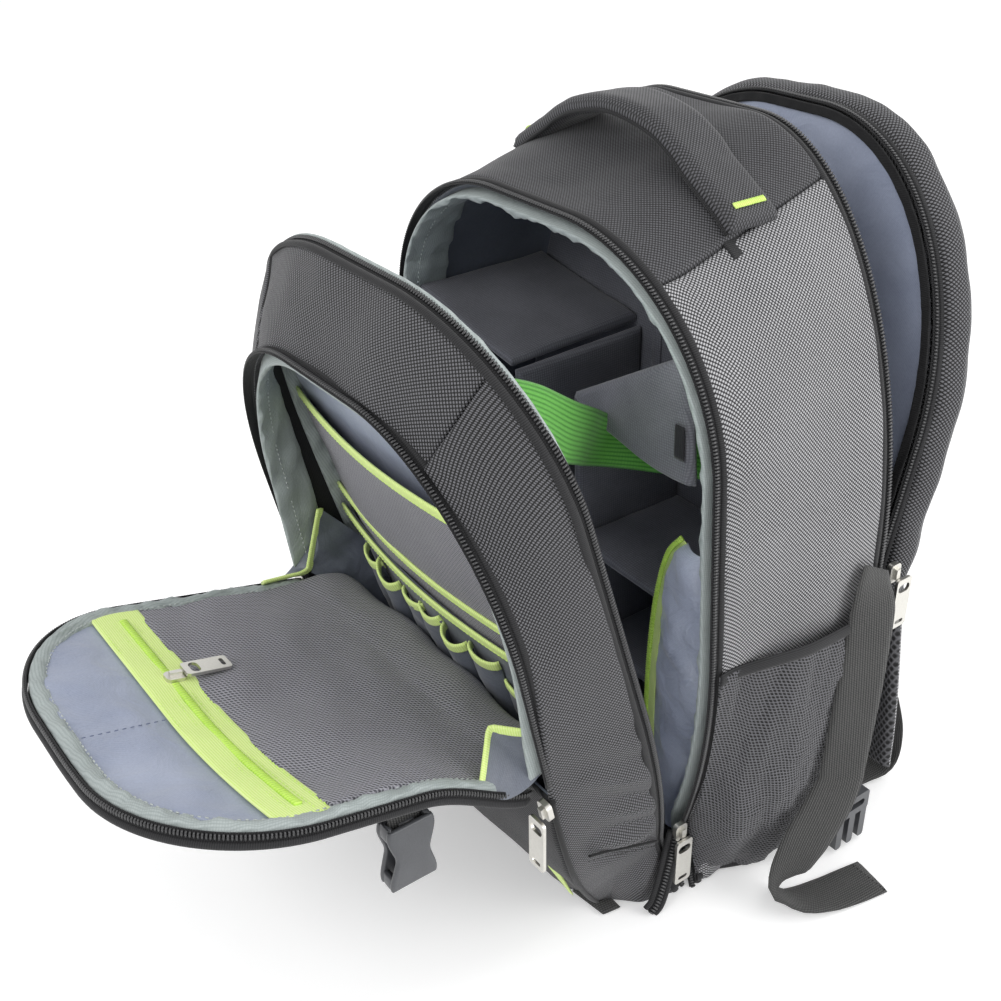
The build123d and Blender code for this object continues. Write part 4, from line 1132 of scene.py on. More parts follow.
class BACKPACK_OT_cover(bpy.types.Operator):
    """Front cover: its padded walls, lower front, sole, seams and zip halves"""
    bl_idname = "backpack.cover"
    bl_label = "Cover"

    def execute(self, context):
        centre = (0, -100, 190)

        def side(word, sign):
            """A side of the cover."""
            grid = rounded_foot(cover_wall(COVER_SEAMS, "side", 90)) * [sign, 1, 1]
            pad(f"cover_wall_{word}", grid, 5.0, "shell", "cover",
                once(sign, "cover_sides"), outwards(grid, centre), 2.4, crown=3.0,
                crease=lambda p: 1.5 * ripple(p, 110, 61) + crease_marks(p * [sign, 1, 1], COVER_FOLDS),
                lining="lining")

        both(side)
        grid = cover_wall(COVER_SEAMS, "top", 50)
        pad("cover_top_wall", grid, 5.0, "shell", "cover", ["cover_top"],
            outwards(grid, centre), 2.4, crown=4.0, crease=lambda p: 1.2 * ripple(p, 90, 65),
            lining="lining")
        reach = 27 + (FLAP_FOLD - 33) * edged(34, FLAP_FOLD - 33, 3.0)
        half = half_at(COVER_RIM, reach, 0.0, 24.0) - 3
        across = 2 * edged(44, 240, 3.0) - 1
        grid = rounded_foot(cover_front(half[:, None] * across[None], reach[:, None], -3.0))
        pad("cover_lower_front", grid, 5.0, "ribbed", "cover", ["cover_lower_front"],
            -AY, 2.4, crown=5.0, crease=lambda p: 1.6 * ripple(p, 120, 67), lining="satin")
        y = -57 - 60 * edged(14, 60, 2.0)
        half = np.interp(y, [-117, -57], [106, 122])
        across = 2 * edged(30, 200, 2.0) - 1
        sole = np.stack(np.broadcast_arrays(half[:, None] * across[None], y[:, None], 3.9), -1)
        pad("cover_sole", rounded_foot(sole), 4.6, "shell", "cover", ["cover_sole"], -AZ,
            2.0, lining="satin")
        # Piped corners of the lower front, and the patch sewn over the foot of each side.
        for word, sign in SIDES:
            reach = np.linspace(28, 168, 60)
            edge = rounded_foot(cover_front(sign * half_at(COVER_RIM, reach, 0.0, 24.0), reach, -1.5))
            sweep(f"cover_front_seam_{word}", edge, AX, oval(4.4, 3.4, 10), "binding", "cover")
            heel = cover_wall(COVER_SEAMS, "side", 90, -0.4)
            rows, columns = np.linspace(26, 15, 24).astype(int), np.linspace(25, 1, 24).astype(int)
            line = smooth_line(heel[rows, columns][::4] * [sign, 1, 1], 40) + [sign * 3.0, 0, 0]
            sweep(f"corner_patch_seam_{word}", line, AX, oval(2.0, 1.4, 8), "tape", "cover")
            line = line + [sign * 0.4, 0, -3.4]
            stitches(f"corner_patch_stitches_{word}", line, AX * sign, "cover", every=3.4)
        corner_marks()
        # The cover's half of the main zip and the rim of the front pocket, both with ruffled tape.
        line, inward = edge_line(cover_plane, COVER_BACK, 1.2, 6.8, bottom=3)
        zip_half("cover_zip", line, -cover_plane[2], -inward, "cover", nodes=["cover_zip"])
        edges = cover_edges(None, "all", 320)
        cuff = strip(*edges, -7.0, 20.0, 4.0, centre)
        pad("cover_cuff", cuff, 2.6, "sage", "cover", [], -outwards(cuff, centre), 1.1,
            crown=1.4, crown_size=5, crease=lambda p: 1.5 * ripple(p, 15, 71, 2))
        line, inward = edge_line(rim_plane, COVER_RIM, 1.2, -6.8, bottom=178)
        zip_half("pocket_rim_zip", line, rim_plane[2], -inward, "cover", nodes=["pocket_rim_zip"])
        high = edges[1][:, 2] > on(rim_plane, 0, 182)[2]
        edges = edges[1][high], edges[0][high]
        cuff = strip(*edges, -8.0, 22.0, 4.0, centre)
        pad("pocket_rim_cuff", cuff, 2.8, "sage", "cover", [], -outwards(cuff, centre),
            1.2, crown=1.8, crown_size=5, crease=lambda p: 1.9 * ripple(p, 16, 73, 2))
        line = strip(*edges, 1.5, 2.5, 7.6, centre)[:, 0]
        stitches("pocket_rim_cuff_stitches", line, -outwards(line, centre), "cover",
                 "pale_thread", every=3.6, long=2.4, thick=0.9)
        # The last of the main zip, still closed, at the floor.
        points = [(120.5, -61, 46), (123.5, -67.5, 34), (127.5, -76, 19), (130, -83, 8),
                  (129.5, -87.5, 2.8)]
        line = smooth_line(points, 40)
        tangent = unit(np.gradient(line, axis=0))
        lean = np.array([0.9, -0.35, 0.25])
        out = unit(lean - (lean * tangent).sum(-1, keepdims=True) * tangent)
        across = np.cross(out, tangent)
        for word, sign in SIDES:
            flip = np.array([sign, 1, 1])
            sweep(f"closed_zip_tape_{word}", line * flip, across * flip, oval(6, 1.4, 14, 0.6), "tape",
                  "cover")
            for edge, where in (("front", -4.0), ("back", 4.0)):
                beside = (line + across * where - out * 0.3) * flip
                sweep(f"closed_zip_binding_{edge}_{word}", beside, across * flip, oval(3.4, 2.8, 10),
                      "binding", "cover")
            spots = resample(line + out * 1.1, int(lengths(line)[-1] / size("tooth_pitch"))) * flip
            way = resample(np.hstack([across, tangent]), len(spots))
            repeated(f"closed_zip_coil_{word}", spots, way[:, :3] * flip, way[:, 3:] * flip,
                     bar(4.4, 1.5, 2.2), "coil", "cover")
        return {"FINISHED"}


def fullness(x):
    """Swell of the organizer across the bag, whose pockets stand out in the middle as if full."""
    return size("organizer_bulge") * np.clip(1 - (np.asarray(x) / 130) ** 2, 0, 1)


def on_cover(x, reach, out):
    """Points over the swollen organizer."""
    return on(cover_plane, x, reach, out + fullness(x))


def bulged(grid, share=1.0):
    """The same swell, or a share of it, for a grid that is already drawn."""
    return grid + cover_plane[2] * (share * fullness(grid[..., :1]))


class BACKPACK_OT_organizer(bpy.types.Operator):
    """Back wall of the front pocket, with its mesh pocket, sleeve and pen pockets"""
    bl_idname = "backpack.organizer"
    bl_label = "Organizer"

    def execute(self, context):
        front = cover_plane[2]
        wall = bulged(filled(moved(cover_plane, 13.5), COVER_BACK, 12.0, 0.0, 8.0), 0.3)
        pad("organizer_wall", wall, 3.4, "satin", "cover", ["organizer_wall"], front,
            1.6, crease=lambda p: ripple(p, 70, 81), lining="satin")
        mesh = bulged(filled(moved(cover_plane, 16.8), COVER_BACK, 12.0, 0.0, 50.0, top=292))
        pad("organizer_mesh_pocket", mesh, 1.6, "fine_mesh", "cover",
            ["organizer_mesh_pocket"], front, 0.7, crown=0.6, crease=lambda p: 1.1 * ripple(p, 80, 82))
        sleeve = bulged(filled(moved(cover_plane, 20.0), COVER_BACK, 12.0, 0.0, 46.0, top=199))
        pad("organizer_sleeve", sleeve, 1.8, "slate", "cover", ["organizer_sleeve"],
            front, 0.8, crease=lambda p: 1.2 * ripple(p, 70, 83))
        # Lime bindings: the tops of the mesh pocket and the sleeve, and the line between them.
        for name, reach, out, high in (("mesh_pocket_binding", 293, 18.2, 8),
                                       ("sleeve_binding", 199, 22.0, 7),
                                       ("mesh_panel_binding", 216, 18.8, 6)):
            half = half_at(COVER_BACK, reach, 12.0)
            x = np.linspace(-half, half, 60)
            line = on_cover(x, reach - 1.0 + 0.8 * np.sin(x / 31.0), out)
            strap(name, line[::6], cover_plane[1] * np.ones((10, 1)), high, 2.2, "lime", "cover")
            line = line - cover_plane[1] * (high / 2 - 1.6) + front * 1.2
            stitches(name + "_stitches", line, front, "cover", "lime_thread",
                     every=3.4, long=2.2, thick=0.5)
        # Six pen pockets and a wider one, each as middle, width, middle height and height.
        pockets = []
        for index in range(6):
            pockets.append((-26.0 + 25 * (index - 2.5) + 2.5 * math.sin(4 * index),
                            25.0 + 3 * math.sin(3 * index), 120.0, 127.0 + 3 * math.sin(2.6 * index)))
        pockets.append((80.0, 58.0, 114.0, 114.0))
        for index, (x, wide, middle, high) in enumerate(pockets):
            t = edged(14, wide, 1.5)
            u = edged(20, high, 1.2)
            spread = 2 * t - 1
            low, top = middle - high / 2, middle + high / 2
            reach = low + (top - low) * u
            bulge = (5.5 + 2 * math.sin(1.9 * index)) * (1 - spread ** 2) ** 0.5
            lift = bulge[None, :] * (0.35 + 0.65 * np.sin(np.clip(u, 0, 1) * 1.7)[:, None])
            slack = 2.5 + 2.0 * math.sin(index * 2.3)
            aside = 1 - (spread - 0.3 * math.sin(index * 1.7)) ** 2
            dip = -slack * aside[None, :] * np.clip((u[:, None] - 0.8) / 0.2, 0, 1)
            grid = on_cover(x + spread[None, :] * (wide / 2 - 0.4), reach[:, None] + dip, 21.4 + lift)
            pad(f"pen_pocket_{index}", grid, 1.3, "slate", "cover",
                ["pen_pockets"] if index == 0 else [], front, 0.6,
                crease=lambda p: 0.7 * ripple(p, 25, 84))
            line = (grid[-2] + front * 0.3)[::3]
            strap(f"pen_pocket_binding_{index}", line, cover_plane[1] * np.ones((len(line), 1)), 7.0, 2.0,
                  "lime", "cover", step=2.5)
        return {"FINISHED"}


def up_flap(points):
    """How far up the flap points lie from its fold."""
    return (points - flap_plane[0]) @ flap_plane[1]


class BACKPACK_OT_flap(bpy.types.Operator):
    """Flap of the front pocket, laid open: outside, lining, mesh pocket and its lime zip"""
    bl_idname = "backpack.flap"
    bl_label = "Flap"

    def execute(self, context):
        outer = flap_plane[2]
        grid = filled(flap_plane, FLAP, 3.0, 7.5, 1.0)
        pad("flap_outside", grid, 6.4, "shell", "flap", ["flap_panel"], outer, 3.2,
            crown=2.5, crown_size=18, crease=lambda p: ripple(p, 90, 91))
        # Its half of the pocket's zip, with ruffled tape inside it.
        line, inward = edge_line(flap_plane, FLAP, 1.6, 6.0, bottom=4)
        zip_half("flap_zip", line, -outer, -inward, "flap", nodes=["flap_zip"])
        cuff = band(flap_plane, FLAP, (3.0, 0.6), (13.0, 1.4), columns=11, bottom=3)
        pad("flap_cuff", cuff, 2.8, "sage", "flap", [], -outer, 1.4, crown=3.2,
            crown_size=3.5, crease=lambda p: 1.5 * ripple(p, 11, 92, 2))
        line, inward = edge_line(flap_plane, FLAP, 11.8, -1.6, bottom=4)
        stitches("flap_cuff_stitches", line, -outer, "flap", "pale_thread",
                 every=3.6, long=2.4, thick=0.9)
        grid = filled(flap_plane, FLAP, 10.5, 2.0, 3.0)
        pad("flap_satin", grid, 2.2, "satin", "flap", ["flap_lining"], -outer, 1.0,
            crease=lambda p: (1.8 + 1.8 * ripple(p, 60, 93)) * np.clip((up_flap(p) - 148) / 14, 0, 1))
        # Reach up the flap and distance out of it, from inside the pocket's foot to the flap's fold.
        drop = smooth_line([(-40, 44), (-36, 24), (-31, 8), (-25, -2), (-16, -5.6), (-6, -5.8), (4, -4.6),
                            (11, -3)], 34)
        half = np.interp(drop[:, 0], [-40, -20, 0, 12], [100, 112, 114, 114.5])
        fold = on(flap_plane, half[:, None] * (2 * edged(44, 230, 4)[None] - 1), drop[:, :1], drop[:, 1:])
        mesh = filled(flap_plane, FLAP, 11.5, -0.6, 13.0, top=121, columns=44)
        mesh -= outer * (2.2 * np.clip(1 - (up_flap(mesh) - 13) / 30, 0, 1))[..., None]
        pad("flap_mesh_pocket", np.vstack([fold, mesh]), 1.6, "fine_mesh", None,
            ["flap_mesh_pocket"], -outer, 0.7, crown=4.0, crown_size=30,
            crease=lambda p: 1.6 * ripple(p, 70, 94),
            blend=("cover", "flap", tuple(on(flap_plane, 0, -12) * METRES),
                   tuple(on(flap_plane, 0, 8) * METRES)))
        # The lime zip of the mesh pocket, with its rows of stitches.
        tape = filled(flap_plane, FLAP, 11.0, -0.8, 118.5, top=148.5)
        pad("flap_zip_tape", tape, 1.8, "lime", "flap", ["flap_pocket_tape"], -outer, 0.8,
            crease=lambda p: 0.7 * ripple(p, 60, 95))
        x = np.linspace(-104, 104, 100)
        line = on(flap_plane, x, 132.0, -2.2)
        repeated("flap_zip_coil", line, flap_plane[1], AX, bar(5.4, 1.9, 2.2), "lime_coil", "flap")
        x = np.linspace(-110, 110, 60)
        for index, reach in enumerate((121.0, 127.0, 138.0, 146.5)):
            line = on(flap_plane, x, reach, -1.8)
            stitches(f"flap_zip_stitches_{index}", line, -outer, "flap", "lime_thread",
                     every=3.4, long=2.3, thick=0.55)
        seam = on(flap_plane, 0.0, np.linspace(152, 194, 20), -2.8)
        stitches("flap_satin_stitches", seam, -outer, "flap", "blue_thread", every=3.6,
                 long=2.8)
        return {"FINISHED"}


# Rim end, corner, flap end, root on the cover and root on the flap of each gusset.
GUSSETS = {"right": ((124, -171, 181), (105, -185.6, 177), (120, -203, 151), (125, -170, 160),
                     (124, -190, 149)),
           "left": ((-121, -156, 194), (-119, -169.6, 152.6), (-120, -202, 156.5), (-125, -163, 170),
                    (-124, -186, 150))}


class BACKPACK_OT_gussets(bpy.types.Operator):
    """Satin gussets that join the flap's sides to the cover, with lime bound edges"""
    bl_idname = "backpack.gussets"
    bl_label = "Gussets"

    def execute(self, context):
        def gusset(word, sign):
            """A gusset and its bound edge; the left one also has a fold inside the pocket."""
            rim, corner, foot, root, heel = GUSSETS[word]
            u = edged(26, 70, 1.2)
            edge = np.vstack([resample([rim, corner], 14)[:-1], resample([corner, foot], 14)])
            edge[1:-1] = 0.5 * edge[1:-1] + 0.25 * (edge[:-2] + edge[2:])
            edge = resample(edge, at=u)
            inner = resample(smooth_line([rim, root, heel, foot], 30), at=u) + [3 * sign, 0, -1.5]
            t = edged(14, 40, 1.2)[None, :, None]
            grid = edge[:, None] * (1 - t) + inner[:, None] * t
            hinge = on(rim_plane, 0, FLAP_FOLD, 0)
            blend = ("cover", "flap", tuple((hinge + [0, 6, 18]) * METRES),
                     tuple((hinge + [0, -22, 2]) * METRES))
            pad(f"gusset_{word}", grid, 1.3, "slate", None, once(sign, "flap_gussets"),
                AX * -sign, 0.6, crease=lambda p: 1.2 * ripple(p, 28, 101), blend=blend)
            if sign < 0:
                fold = resample([(-121, -155.5, 194), (-119, -168, 151)], at=u)
                deep = resample([(-119, -116, 150), (-104, -114, 104)], at=u)
                grid = fold[:, None] * (1 - t) + deep[:, None] * t
                pad("gusset_fold_left", grid, 1.3, "slate", "cover", [], AX, 0.6,
                    crease=lambda p: 1.4 * ripple(p, 26, 102))
            line = edge[::2]
            way = np.array([0.2, 0.35, -1]) if sign > 0 else np.array([-0.3, 0.8, -0.4])
            strap(f"gusset_binding_{word}", line, np.broadcast_to(way, line.shape), 6.0, 2.2, "lime",
                  None, step=2.0, blend=blend)

        both(gusset)
        return {"FINISHED"}


# Height, middle, half width and depth of the shoulder straps, from top to floor.
STRAP_LINE = ((402, 52, 30, 142.6), (384, 54, 29.8, 139.8), (330, 60, 29, 135), (240, 78, 28, 124),
              (150, 103, 25, 111), (70, 122, 22, 102), (24, 127, 20, 101))


class BACKPACK_OT_back(bpy.types.Operator):
    """Laptop compartment's back panel, its padding, harness, lumbar pad and strap ends"""
    bl_idname = "backpack.back"
    bl_label = "Back"

    def execute(self, context):
        rear = -panel_plane[2]
        grid = filled(panel_plane, PANEL, 10.0, -15.0, 3.0)
        pad("laptop_back_panel", grid, 16.0, "shell", "laptop_back", ["laptop_panel"],
            rear, 8.0, crown=5.0, crown_size=30, crease=lambda p: 1.2 * ripple(p, 110, 111))
        wall = band(panel_plane, PANEL, (8.0, -9.0), (9.0, -33.0), columns=16, bottom=3)
        pad("laptop_panel_wall", wall, 4.0, "shell", "laptop_back", [],
            outwards(wall, (0, 100, 250)), 1.6, crown=9.0, crown_size=6.5,
            crease=lambda p: 1.2 * ripple(p, 60, 115))
        line, inward = edge_line(panel_plane, PANEL, 8.0, -8.2, bottom=3)
        zip_half("laptop_panel_zip", line, panel_plane[2], -inward, "laptop_back",
                 nodes=["laptop_panel_zip"])
        satin = filled(panel_plane, PANEL, 11.5, -4.4, 3.0)
        pad("laptop_lining", satin, 1.8, "satin", "laptop_back", ["laptop_lining"],
            -rear, 0.8, crease=lambda p: 1.6 * ripple(p, 110, 112))
        cuff = band(panel_plane, PANEL, (9.5, -1.2), (15.0, -0.9), columns=6, bottom=3)
        pad("laptop_cuff", cuff, 1.5, "tape", "laptop_back", [], -rear, 0.7,
            crease=lambda p: 0.6 * ripple(p, 13, 113, 2))

        def cushion(word, sign):
            """A back pad and a shoulder strap."""
            reach = 26 + 188 * edged(40, 188, 4)
            half = half_at(PANEL, reach, 30)
            t = edged(20, 90, 4)
            x = 16 + (half - 16)[:, None] * t[None, :]
            grid = on(panel_plane, sign * x, reach[:, None], -28.5)
            pad(f"back_pad_{word}", grid, 7.0, "air_mesh", "laptop_back",
                once(sign, "back_pads"), rear, 3.5, crown=3.0, crown_size=14,
                crease=lambda p: 0.6 * ripple(p, 60, 114))
            stations = np.array(STRAP_LINE)[::-1]
            z = 24 + 378 * edged(60, 378, 5)
            x = np.interp(z, stations[:, 0], stations[:, 1])
            wide = np.interp(z, stations[:, 0], stations[:, 2])
            y = np.interp(z, stations[:, 0], stations[:, 3]) + 6
            x, y = (np.convolve(np.pad(v, 4, "edge"), np.ones(9) / 9, "valid") for v in (x, y))
            t = 2 * edged(14, 56, 4) - 1
            grid = np.stack([sign * (x[:, None] + wide[:, None] * t[None]), y[:, None] + 0 * t[None],
                             z[:, None] + 0 * t[None]], -1)
            pad(f"shoulder_strap_{word}", grid, 11.0, "air_mesh", "laptop_back",
                once(sign, "shoulder_straps"), -AY, 5.5, crown=1.0, lining="nylon")

        both(cushion)
        # Yoke of the shoulder straps, and the body's back below the laptop's mouth.
        reach = 220 + 36 * edged(10, 36, 3)
        half = half_at(PANEL, reach, 24)
        t = 2 * edged(40, 200, 3) - 1
        grid = on(panel_plane, half[:, None] * t[None], reach[:, None], -31.0)
        pad("strap_yoke", grid, 14.0, "nylon", "laptop_back", ["strap_yoke"], rear, 3.0,
            crown=1.5)
        z = 3 + 158 * edged(30, 158, 8)
        half = half_at(LUMBAR, z, 0.0) - 1
        t = 2 * edged(40, 300, 8) - 1
        grid = np.stack(np.broadcast_arrays(half[:, None] * t[None], 63.0, z[:, None]), -1)
        pad("lumbar_panel", grid, 22.0, "nylon", "bag", ["lumbar_panel"], AY, 9.0,
            crown=2.0)
        z = 84 + 104 * (edged(16, 104, 4) - 0.5)
        x = 212 * (edged(30, 212, 4) - 0.5)
        grid = np.stack(np.broadcast_arrays(x[None], 78.5, z[:, None]), -1)
        pad("lumbar_pad", grid, 7.0, "air_mesh", "bag", ["lumbar_pad"], AY, 3.5, crown=3.0,
            crown_size=14)

        def tail(word, sign):
            """The webbing from a shoulder strap's foot to the body, and its tab."""
            points = [(123, 84, 4.6), (123, 93.5, 3.4), (125, 108, 3.4), (128, 122, 5.4), (129, 129, 16),
                      (129, 128, 40), (127, 121, 66), (125, 114, 84)]
            points = np.array(points) * [sign, 1, 1]
            blend = ("bag", "laptop_back", (0.125 * sign, 0.108, 0.004), (0.127 * sign, 0.118, 0.075))
            strap(f"adjuster_webbing_{word}", points, AX * np.ones((8, 1)), size("adjuster_width"), 1.6,
                  "webbing", None, once(sign, "adjuster_webbings"), blend=blend)
            points = np.array([(123, 77, 5), (123, 84, 5.2), (123, 91, 4.6)]) * [sign, 1, 1]
            strap(f"strap_tab_{word}", points, AX * np.ones((3, 1)), 22, 4.2, "webbing", "bag",
                  once(sign, "strap_tabs"), step=2)

        both(tail)
        return {"FINISHED"}


HARDWARE = {"nickel": ("mouth_pull_left", "mouth_pull_right", "laptop_pull_left", "laptop_pull_right",
                       "pocket_pull_left", "pocket_pull_right", "flap_pull", "flap_slider", "zip_sliders",
                       "pocket_sliders"),
            "plastic": ("side_plugs",)}


class BACKPACK_OT_hardware(bpy.types.Operator):
    """Finishes of the sliders, pulls and buckles, and the webbing that holds the buckles"""
    bl_idname = "backpack.hardware"
    bl_label = "Hardware"

    def execute(self, context):
        for finish, nodes in HARDWARE.items():
            for node in nodes:
                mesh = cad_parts[node].data
                mesh.materials.clear()
                mesh.materials.append(FINISHES[finish])

        def web(word, sign):
            """A buckle that hangs from the flap, and its webbing."""
            seat = on(flap_plane, sign * 112, 76, 11.3)
            root = curled(seat)
            points = np.array([seat + [0, 0, 4 - 5 * i] for i in range(5)])
            strap(f"buckle_webbing_{word}", points, AY * np.ones((5, 1)), 20, 1.6, "webbing",
                  "flap", step=2)
            t = edged(28, 42, 2.0)
            half = np.interp(t, [0, 0.08, 0.2, 0.5, 0.85, 0.95, 1],
                             [12.5, 14.0, 13.5, 9.5, 13.5, 14.0, 13.0])
            half = np.convolve(np.pad(half, 2, "edge"), np.ones(5) / 5, "valid")
            across = 2 * edged(12, 26, 2.5) - 1
            z = root[2] - 9 - 40 * t
            for face, lift in (("outer", 4.4), ("inner", -4.4)):
                bow = lift + 0.25 * lift * np.sin(t * math.pi)
                y = root[1] + half[:, None] * across[None]
                grid = np.stack(np.broadcast_arrays((root[0] + bow)[:, None], y, z[:, None]), -1)
                pad(f"buckle_{face}_{word}", grid, 3.2, "plastic", "buckle_socket_" + word,
                    once(lift, "buckle_socket_" + word), AX * lift, 1.4)
            for way in (-1, 1):
                line = np.stack([root[0] + 0 * t, root[1] + way * (half - 2.2), z], 1)
                for end, part in (("top", line[1:9]), ("foot", line[-9:-1])):
                    sweep(f"buckle_rail_{end}_{word}_{way}", part, AX, oval(9.6, 3.6, 12, 0.6), "plastic",
                          "buckle_socket_" + word)
            tongue = np.stack([root[0] + 0 * t[3:-3], root[1] + 0 * t[3:-3], z[3:-3]], 1)
            sweep(f"buckle_tongue_{word}", tongue, AY, oval(9.0, 5.0, 12, 0.6), "plastic",
                  "buckle_socket_" + word)

        both(web)
        return {"FINISHED"}


class BACKPACK_OT_finishes(bpy.types.Operator):
    """Makes every cloth, metal and plastic of the bag"""
    bl_idname = "backpack.finishes"
    bl_label = "Finishes"

    def execute(self, context):
        make_finishes()
        return {"FINISHED"}


FLOOR_HALF = 6.0                        # the stage is in metres
LAMPS_AIM = (0, -0.05, 0.2)
CAMERA_SPOT = (0.52260, -0.47434, 0.61401)
CAMERA_AIM = (-0.109917, -0.021538, 0.156751)


def seen_or_lit(tree, lit, seen, output):
    """Gives one shader to light the scene and another to the camera and to mirrors."""
    path = add(tree, "ShaderNodeLightPath")
    looking = add(tree, "ShaderNodeMath", {"operation": "MAXIMUM"},
                  {0: path.outputs["Is Camera Ray"], 1: path.outputs["Is Glossy Ray"]})
    mixed = add(tree, "ShaderNodeMixShader", None, {0: looking, 1: lit, 2: seen})
    add(tree, output, None, {"Surface": mixed})


class BACKPACK_OT_stage(bpy.types.Operator):
    """Pale floor, soft lamps and the camera"""
    bl_idname = "backpack.stage"
    bl_label = "Stage"

    def execute(self, context):
        scene = context.scene
        settings = scene.backpack_stage
        # Matt vinyl, lifted towards white where it is seen: an even pale floor with faint shadows.
        material, tree = fresh("Matt white vinyl floor")
        matt = add(tree, "ShaderNodeBsdfPrincipled", None,
                   {"Base Color": linear(settings.floor), "Roughness": 0.9})
        glow = add(tree, "ShaderNodeEmission", None,
                   {"Color": linear(settings.floor), "Strength": settings.lift})
        lifted = add(tree, "ShaderNodeAddShader", None, {0: matt, 1: glow})
        seen_or_lit(tree, matt, lifted, "ShaderNodeOutputMaterial")
        mesh = bpy.data.meshes.new("floor")
        corners = [(-FLOOR_HALF, -FLOOR_HALF, 0), (FLOOR_HALF, -FLOOR_HALF, 0),
                   (FLOOR_HALF, FLOOR_HALF, 0), (-FLOOR_HALF, FLOOR_HALF, 0)]
        mesh.from_pydata(corners, [], [(0, 1, 2, 3)])
        mesh.materials.append(material)
        floor = bpy.data.objects.new("floor", mesh)
        scene.collection.objects.link(floor)
        world = bpy.data.worlds.new("Soft surround")
        world.use_nodes = True
        tree = world.node_tree
        tree.nodes.clear()
        sky = add(tree, "ShaderNodeBackground", None,
                  {"Color": linear("#ffffff"), "Strength": settings.surround})
        bright = add(tree, "ShaderNodeBackground", None, {"Color": linear("#ffffff"), "Strength": 1.0})
        seen_or_lit(tree, sky, bright, "ShaderNodeOutputWorld")
        scene.world = world
        middle = Vector(LAMPS_AIM)
        for name, spot, side, watts in (("key", (0.3, -1.8, 1.6), 1.2, settings.key),
                                        ("fill", (1.9, 0.95, 0.95), 1.4, settings.fill),
                                        ("rear", (0.6, 1.7, 1.8), 1.2, settings.rear)):
            lamp = bpy.data.lights.new(name, "AREA")
            lamp.shape, lamp.size, lamp.energy = "SQUARE", side, watts
            lamp = bpy.data.objects.new(name, lamp)
            scene.collection.objects.link(lamp)
            lamp.location = spot
            lamp.rotation_euler = (middle - Vector(spot)).to_track_quat("-Z", "Y").to_euler()
        camera = bpy.data.cameras.new("camera")
        camera.lens = settings.lens
        camera = bpy.data.objects.new("camera", camera)
        scene.collection.objects.link(camera)
        look = (Vector(CAMERA_SPOT) - Vector(CAMERA_AIM)).normalized()
        right = Vector((0, 0, 1)).cross(look).normalized()
        up = look.cross(right)
        cos, sin = math.cos(settings.roll), math.sin(settings.roll)
        turn = Matrix((right * cos + up * sin, up * cos - right * sin, look)).transposed().to_4x4()
        camera.matrix_world = Matrix.Translation(CAMERA_SPOT) @ turn
        scene.camera = camera
        scene.view_settings.view_transform = "Standard"
        return {"FINISHED"}


# ------------------------------------------------------------ what a user would change
def power(name, about, default):
    """A strength of light that a user would change."""
    return bpy.props.FloatProperty(name=name, description=about, default=default, min=0, unit="POWER")


def colour(name, about, default):
    """A colour that a user would change, its default as sRGB hex."""
    return bpy.props.FloatVectorProperty(name=name, description=about, default=linear(default)[:3],
                                         min=0, max=1, subtype="COLOR")


def length(name, about, default):
    """A size that a user would change, its default in mm."""
    return bpy.props.FloatProperty(name=name, description=about, default=default * METRES, min=0,
                                   unit="LENGTH")


class BackpackStage(bpy.types.PropertyGroup):
    """Floor, lamps and camera"""
    floor: colour("Floor", "Colour of the floor", "#f2f2f2")
    lift: bpy.props.FloatProperty(name="Floor glow", description="Lift of the floor towards white",
                                  default=0.35, min=0)
    surround: bpy.props.FloatProperty(name="Surround", description="Strength of the soft surround",
                                      default=0.75, min=0)
    key: power("Key lamp", "Power of the lamp in front", 17)
    fill: power("Fill lamp", "Power of the lamp on the right", 22)
    rear: power("Rear lamp", "Power of the lamp behind", 12)
    lens: bpy.props.FloatProperty(name="Lens", description="Focal length on a 36 mm sensor",
                                  default=46.266, min=10, unit="CAMERA")
    roll: bpy.props.FloatProperty(name="Roll", description="Camera's lean about its own axis",
                                  default=math.radians(-1.169), subtype="ANGLE")


class BackpackColours(bpy.types.PropertyGroup):
    """Colours of the cloths, metal and plastic"""
    # The side and the cover have one nylon: the side's paler light thread is painted light, the cover's
    # darker one painted shade.
    side: colour("Lit side nylon", "Light thread of the ballistic nylon on the sides", "#b8b8bb")
    cover: colour("Shaded cover nylon", "Light thread of the ballistic nylon on the cover and flap", "#6e6e72")
    top: colour("Top nylon", "Light thread of the fine nylon on the top and the handle", "#626266")
    webbing: colour("Webbing", "Light thread of the straps", "#5c5c5b")
    satin: colour("Satin", "Light thread of the satin lining", "#b3bbcf")
    sage: colour("Lining tape", "Light thread of the ruffled tape inside each zip", "#bcc4c3")
    lime: colour("Lime", "Light thread of the lime tape and bindings", "#f2ffb8")
    elastic: colour("Stop strap", "Light thread of the green stop strap", "#6bb64f")
    padding: colour("Padding", "Light side of the brushed cloth on the dividers", "#8f9097")
    mesh: colour("Mesh", "Light thread of the side pockets", "#646468")
    metal: colour("Metal", "Sliders and pulls", "#e4e2dc")
    plastic: colour("Plastic", "Buckles and plugs", "#5d5f63")


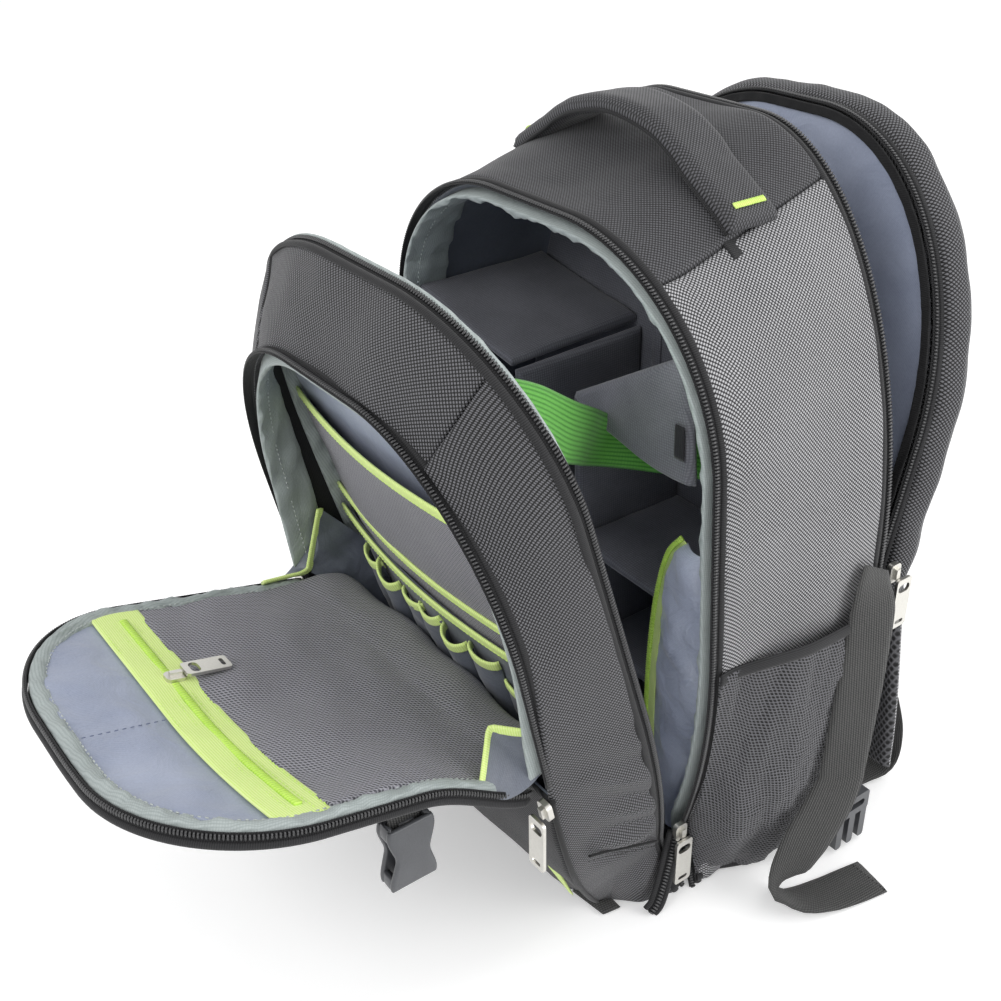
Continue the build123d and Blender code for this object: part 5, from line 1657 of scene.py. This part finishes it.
class BackpackSizes(bpy.types.PropertyGroup):
    """Widths of the webbings and fullness of the soft parts"""
    handle_width: length("Handle width", "Width of the carrying handle", 34)
    side_strap_width: length("Side strap", "Width of the side straps", 28)
    stop_strap_width: length("Stop strap", "Width of the green stop strap", 31)
    adjuster_width: length("Adjuster webbing", "Width of the shoulder straps' webbing", 20)
    tooth_pitch: length("Zip tooth pitch", "Distance between the teeth of the zips", 1.9)
    side_puff: length("Side fullness", "Swell of the padded side walls", 3)
    pocket_gather: length("Pocket gather", "Depth of the folds in the mesh pockets", 2.6)
    organizer_bulge: length("Organizer bulge", "How far the filled organizer stands out", 13)
    flap_curl: length("Flap curl", "Lift of the open flap's right corner", 18)


class BACKPACK_PT_pieces(bpy.types.Panel):
    """Buttons that make the backpack's pieces"""
    bl_label = "Camera backpack"
    bl_space_type = "VIEW_3D"
    bl_region_type = "UI"
    bl_category = "Backpack"

    def draw(self, context):
        for operator in OPERATORS:
            self.layout.operator(operator.bl_idname)
        scene = context.scene
        for group in (scene.backpack_sizes, scene.backpack_colours, scene.backpack_stage):
            for name in group.__annotations__:
                self.layout.prop(group, name)


OPERATORS = (BACKPACK_OT_finishes, BACKPACK_OT_body, BACKPACK_OT_dividers, BACKPACK_OT_handle,
             BACKPACK_OT_side_pockets, BACKPACK_OT_side_straps, BACKPACK_OT_cover, BACKPACK_OT_organizer,
             BACKPACK_OT_flap, BACKPACK_OT_gussets, BACKPACK_OT_back, BACKPACK_OT_hardware,
             BACKPACK_OT_stage)
CLASSES = (BackpackSizes, BackpackColours, BackpackStage, *OPERATORS, BACKPACK_PT_pieces)


def register():
    """Adds the operators, the panel and the properties to Blender."""
    for each in CLASSES:
        bpy.utils.register_class(each)
    bpy.types.Scene.backpack_sizes = bpy.props.PointerProperty(type=BackpackSizes)
    bpy.types.Scene.backpack_colours = bpy.props.PointerProperty(type=BackpackColours)
    bpy.types.Scene.backpack_stage = bpy.props.PointerProperty(type=BackpackStage)


def unregister():
    """Takes them out again."""
    del bpy.types.Scene.backpack_stage
    del bpy.types.Scene.backpack_colours
    del bpy.types.Scene.backpack_sizes
    for each in reversed(CLASSES):
        bpy.utils.unregister_class(each)


def main():
    """Makes every piece and the stage."""
    register()
    for operator in OPERATORS:
        group, action = operator.bl_idname.split(".")
        getattr(getattr(bpy.ops, group), action)()


if __name__ == "__main__":
    main()
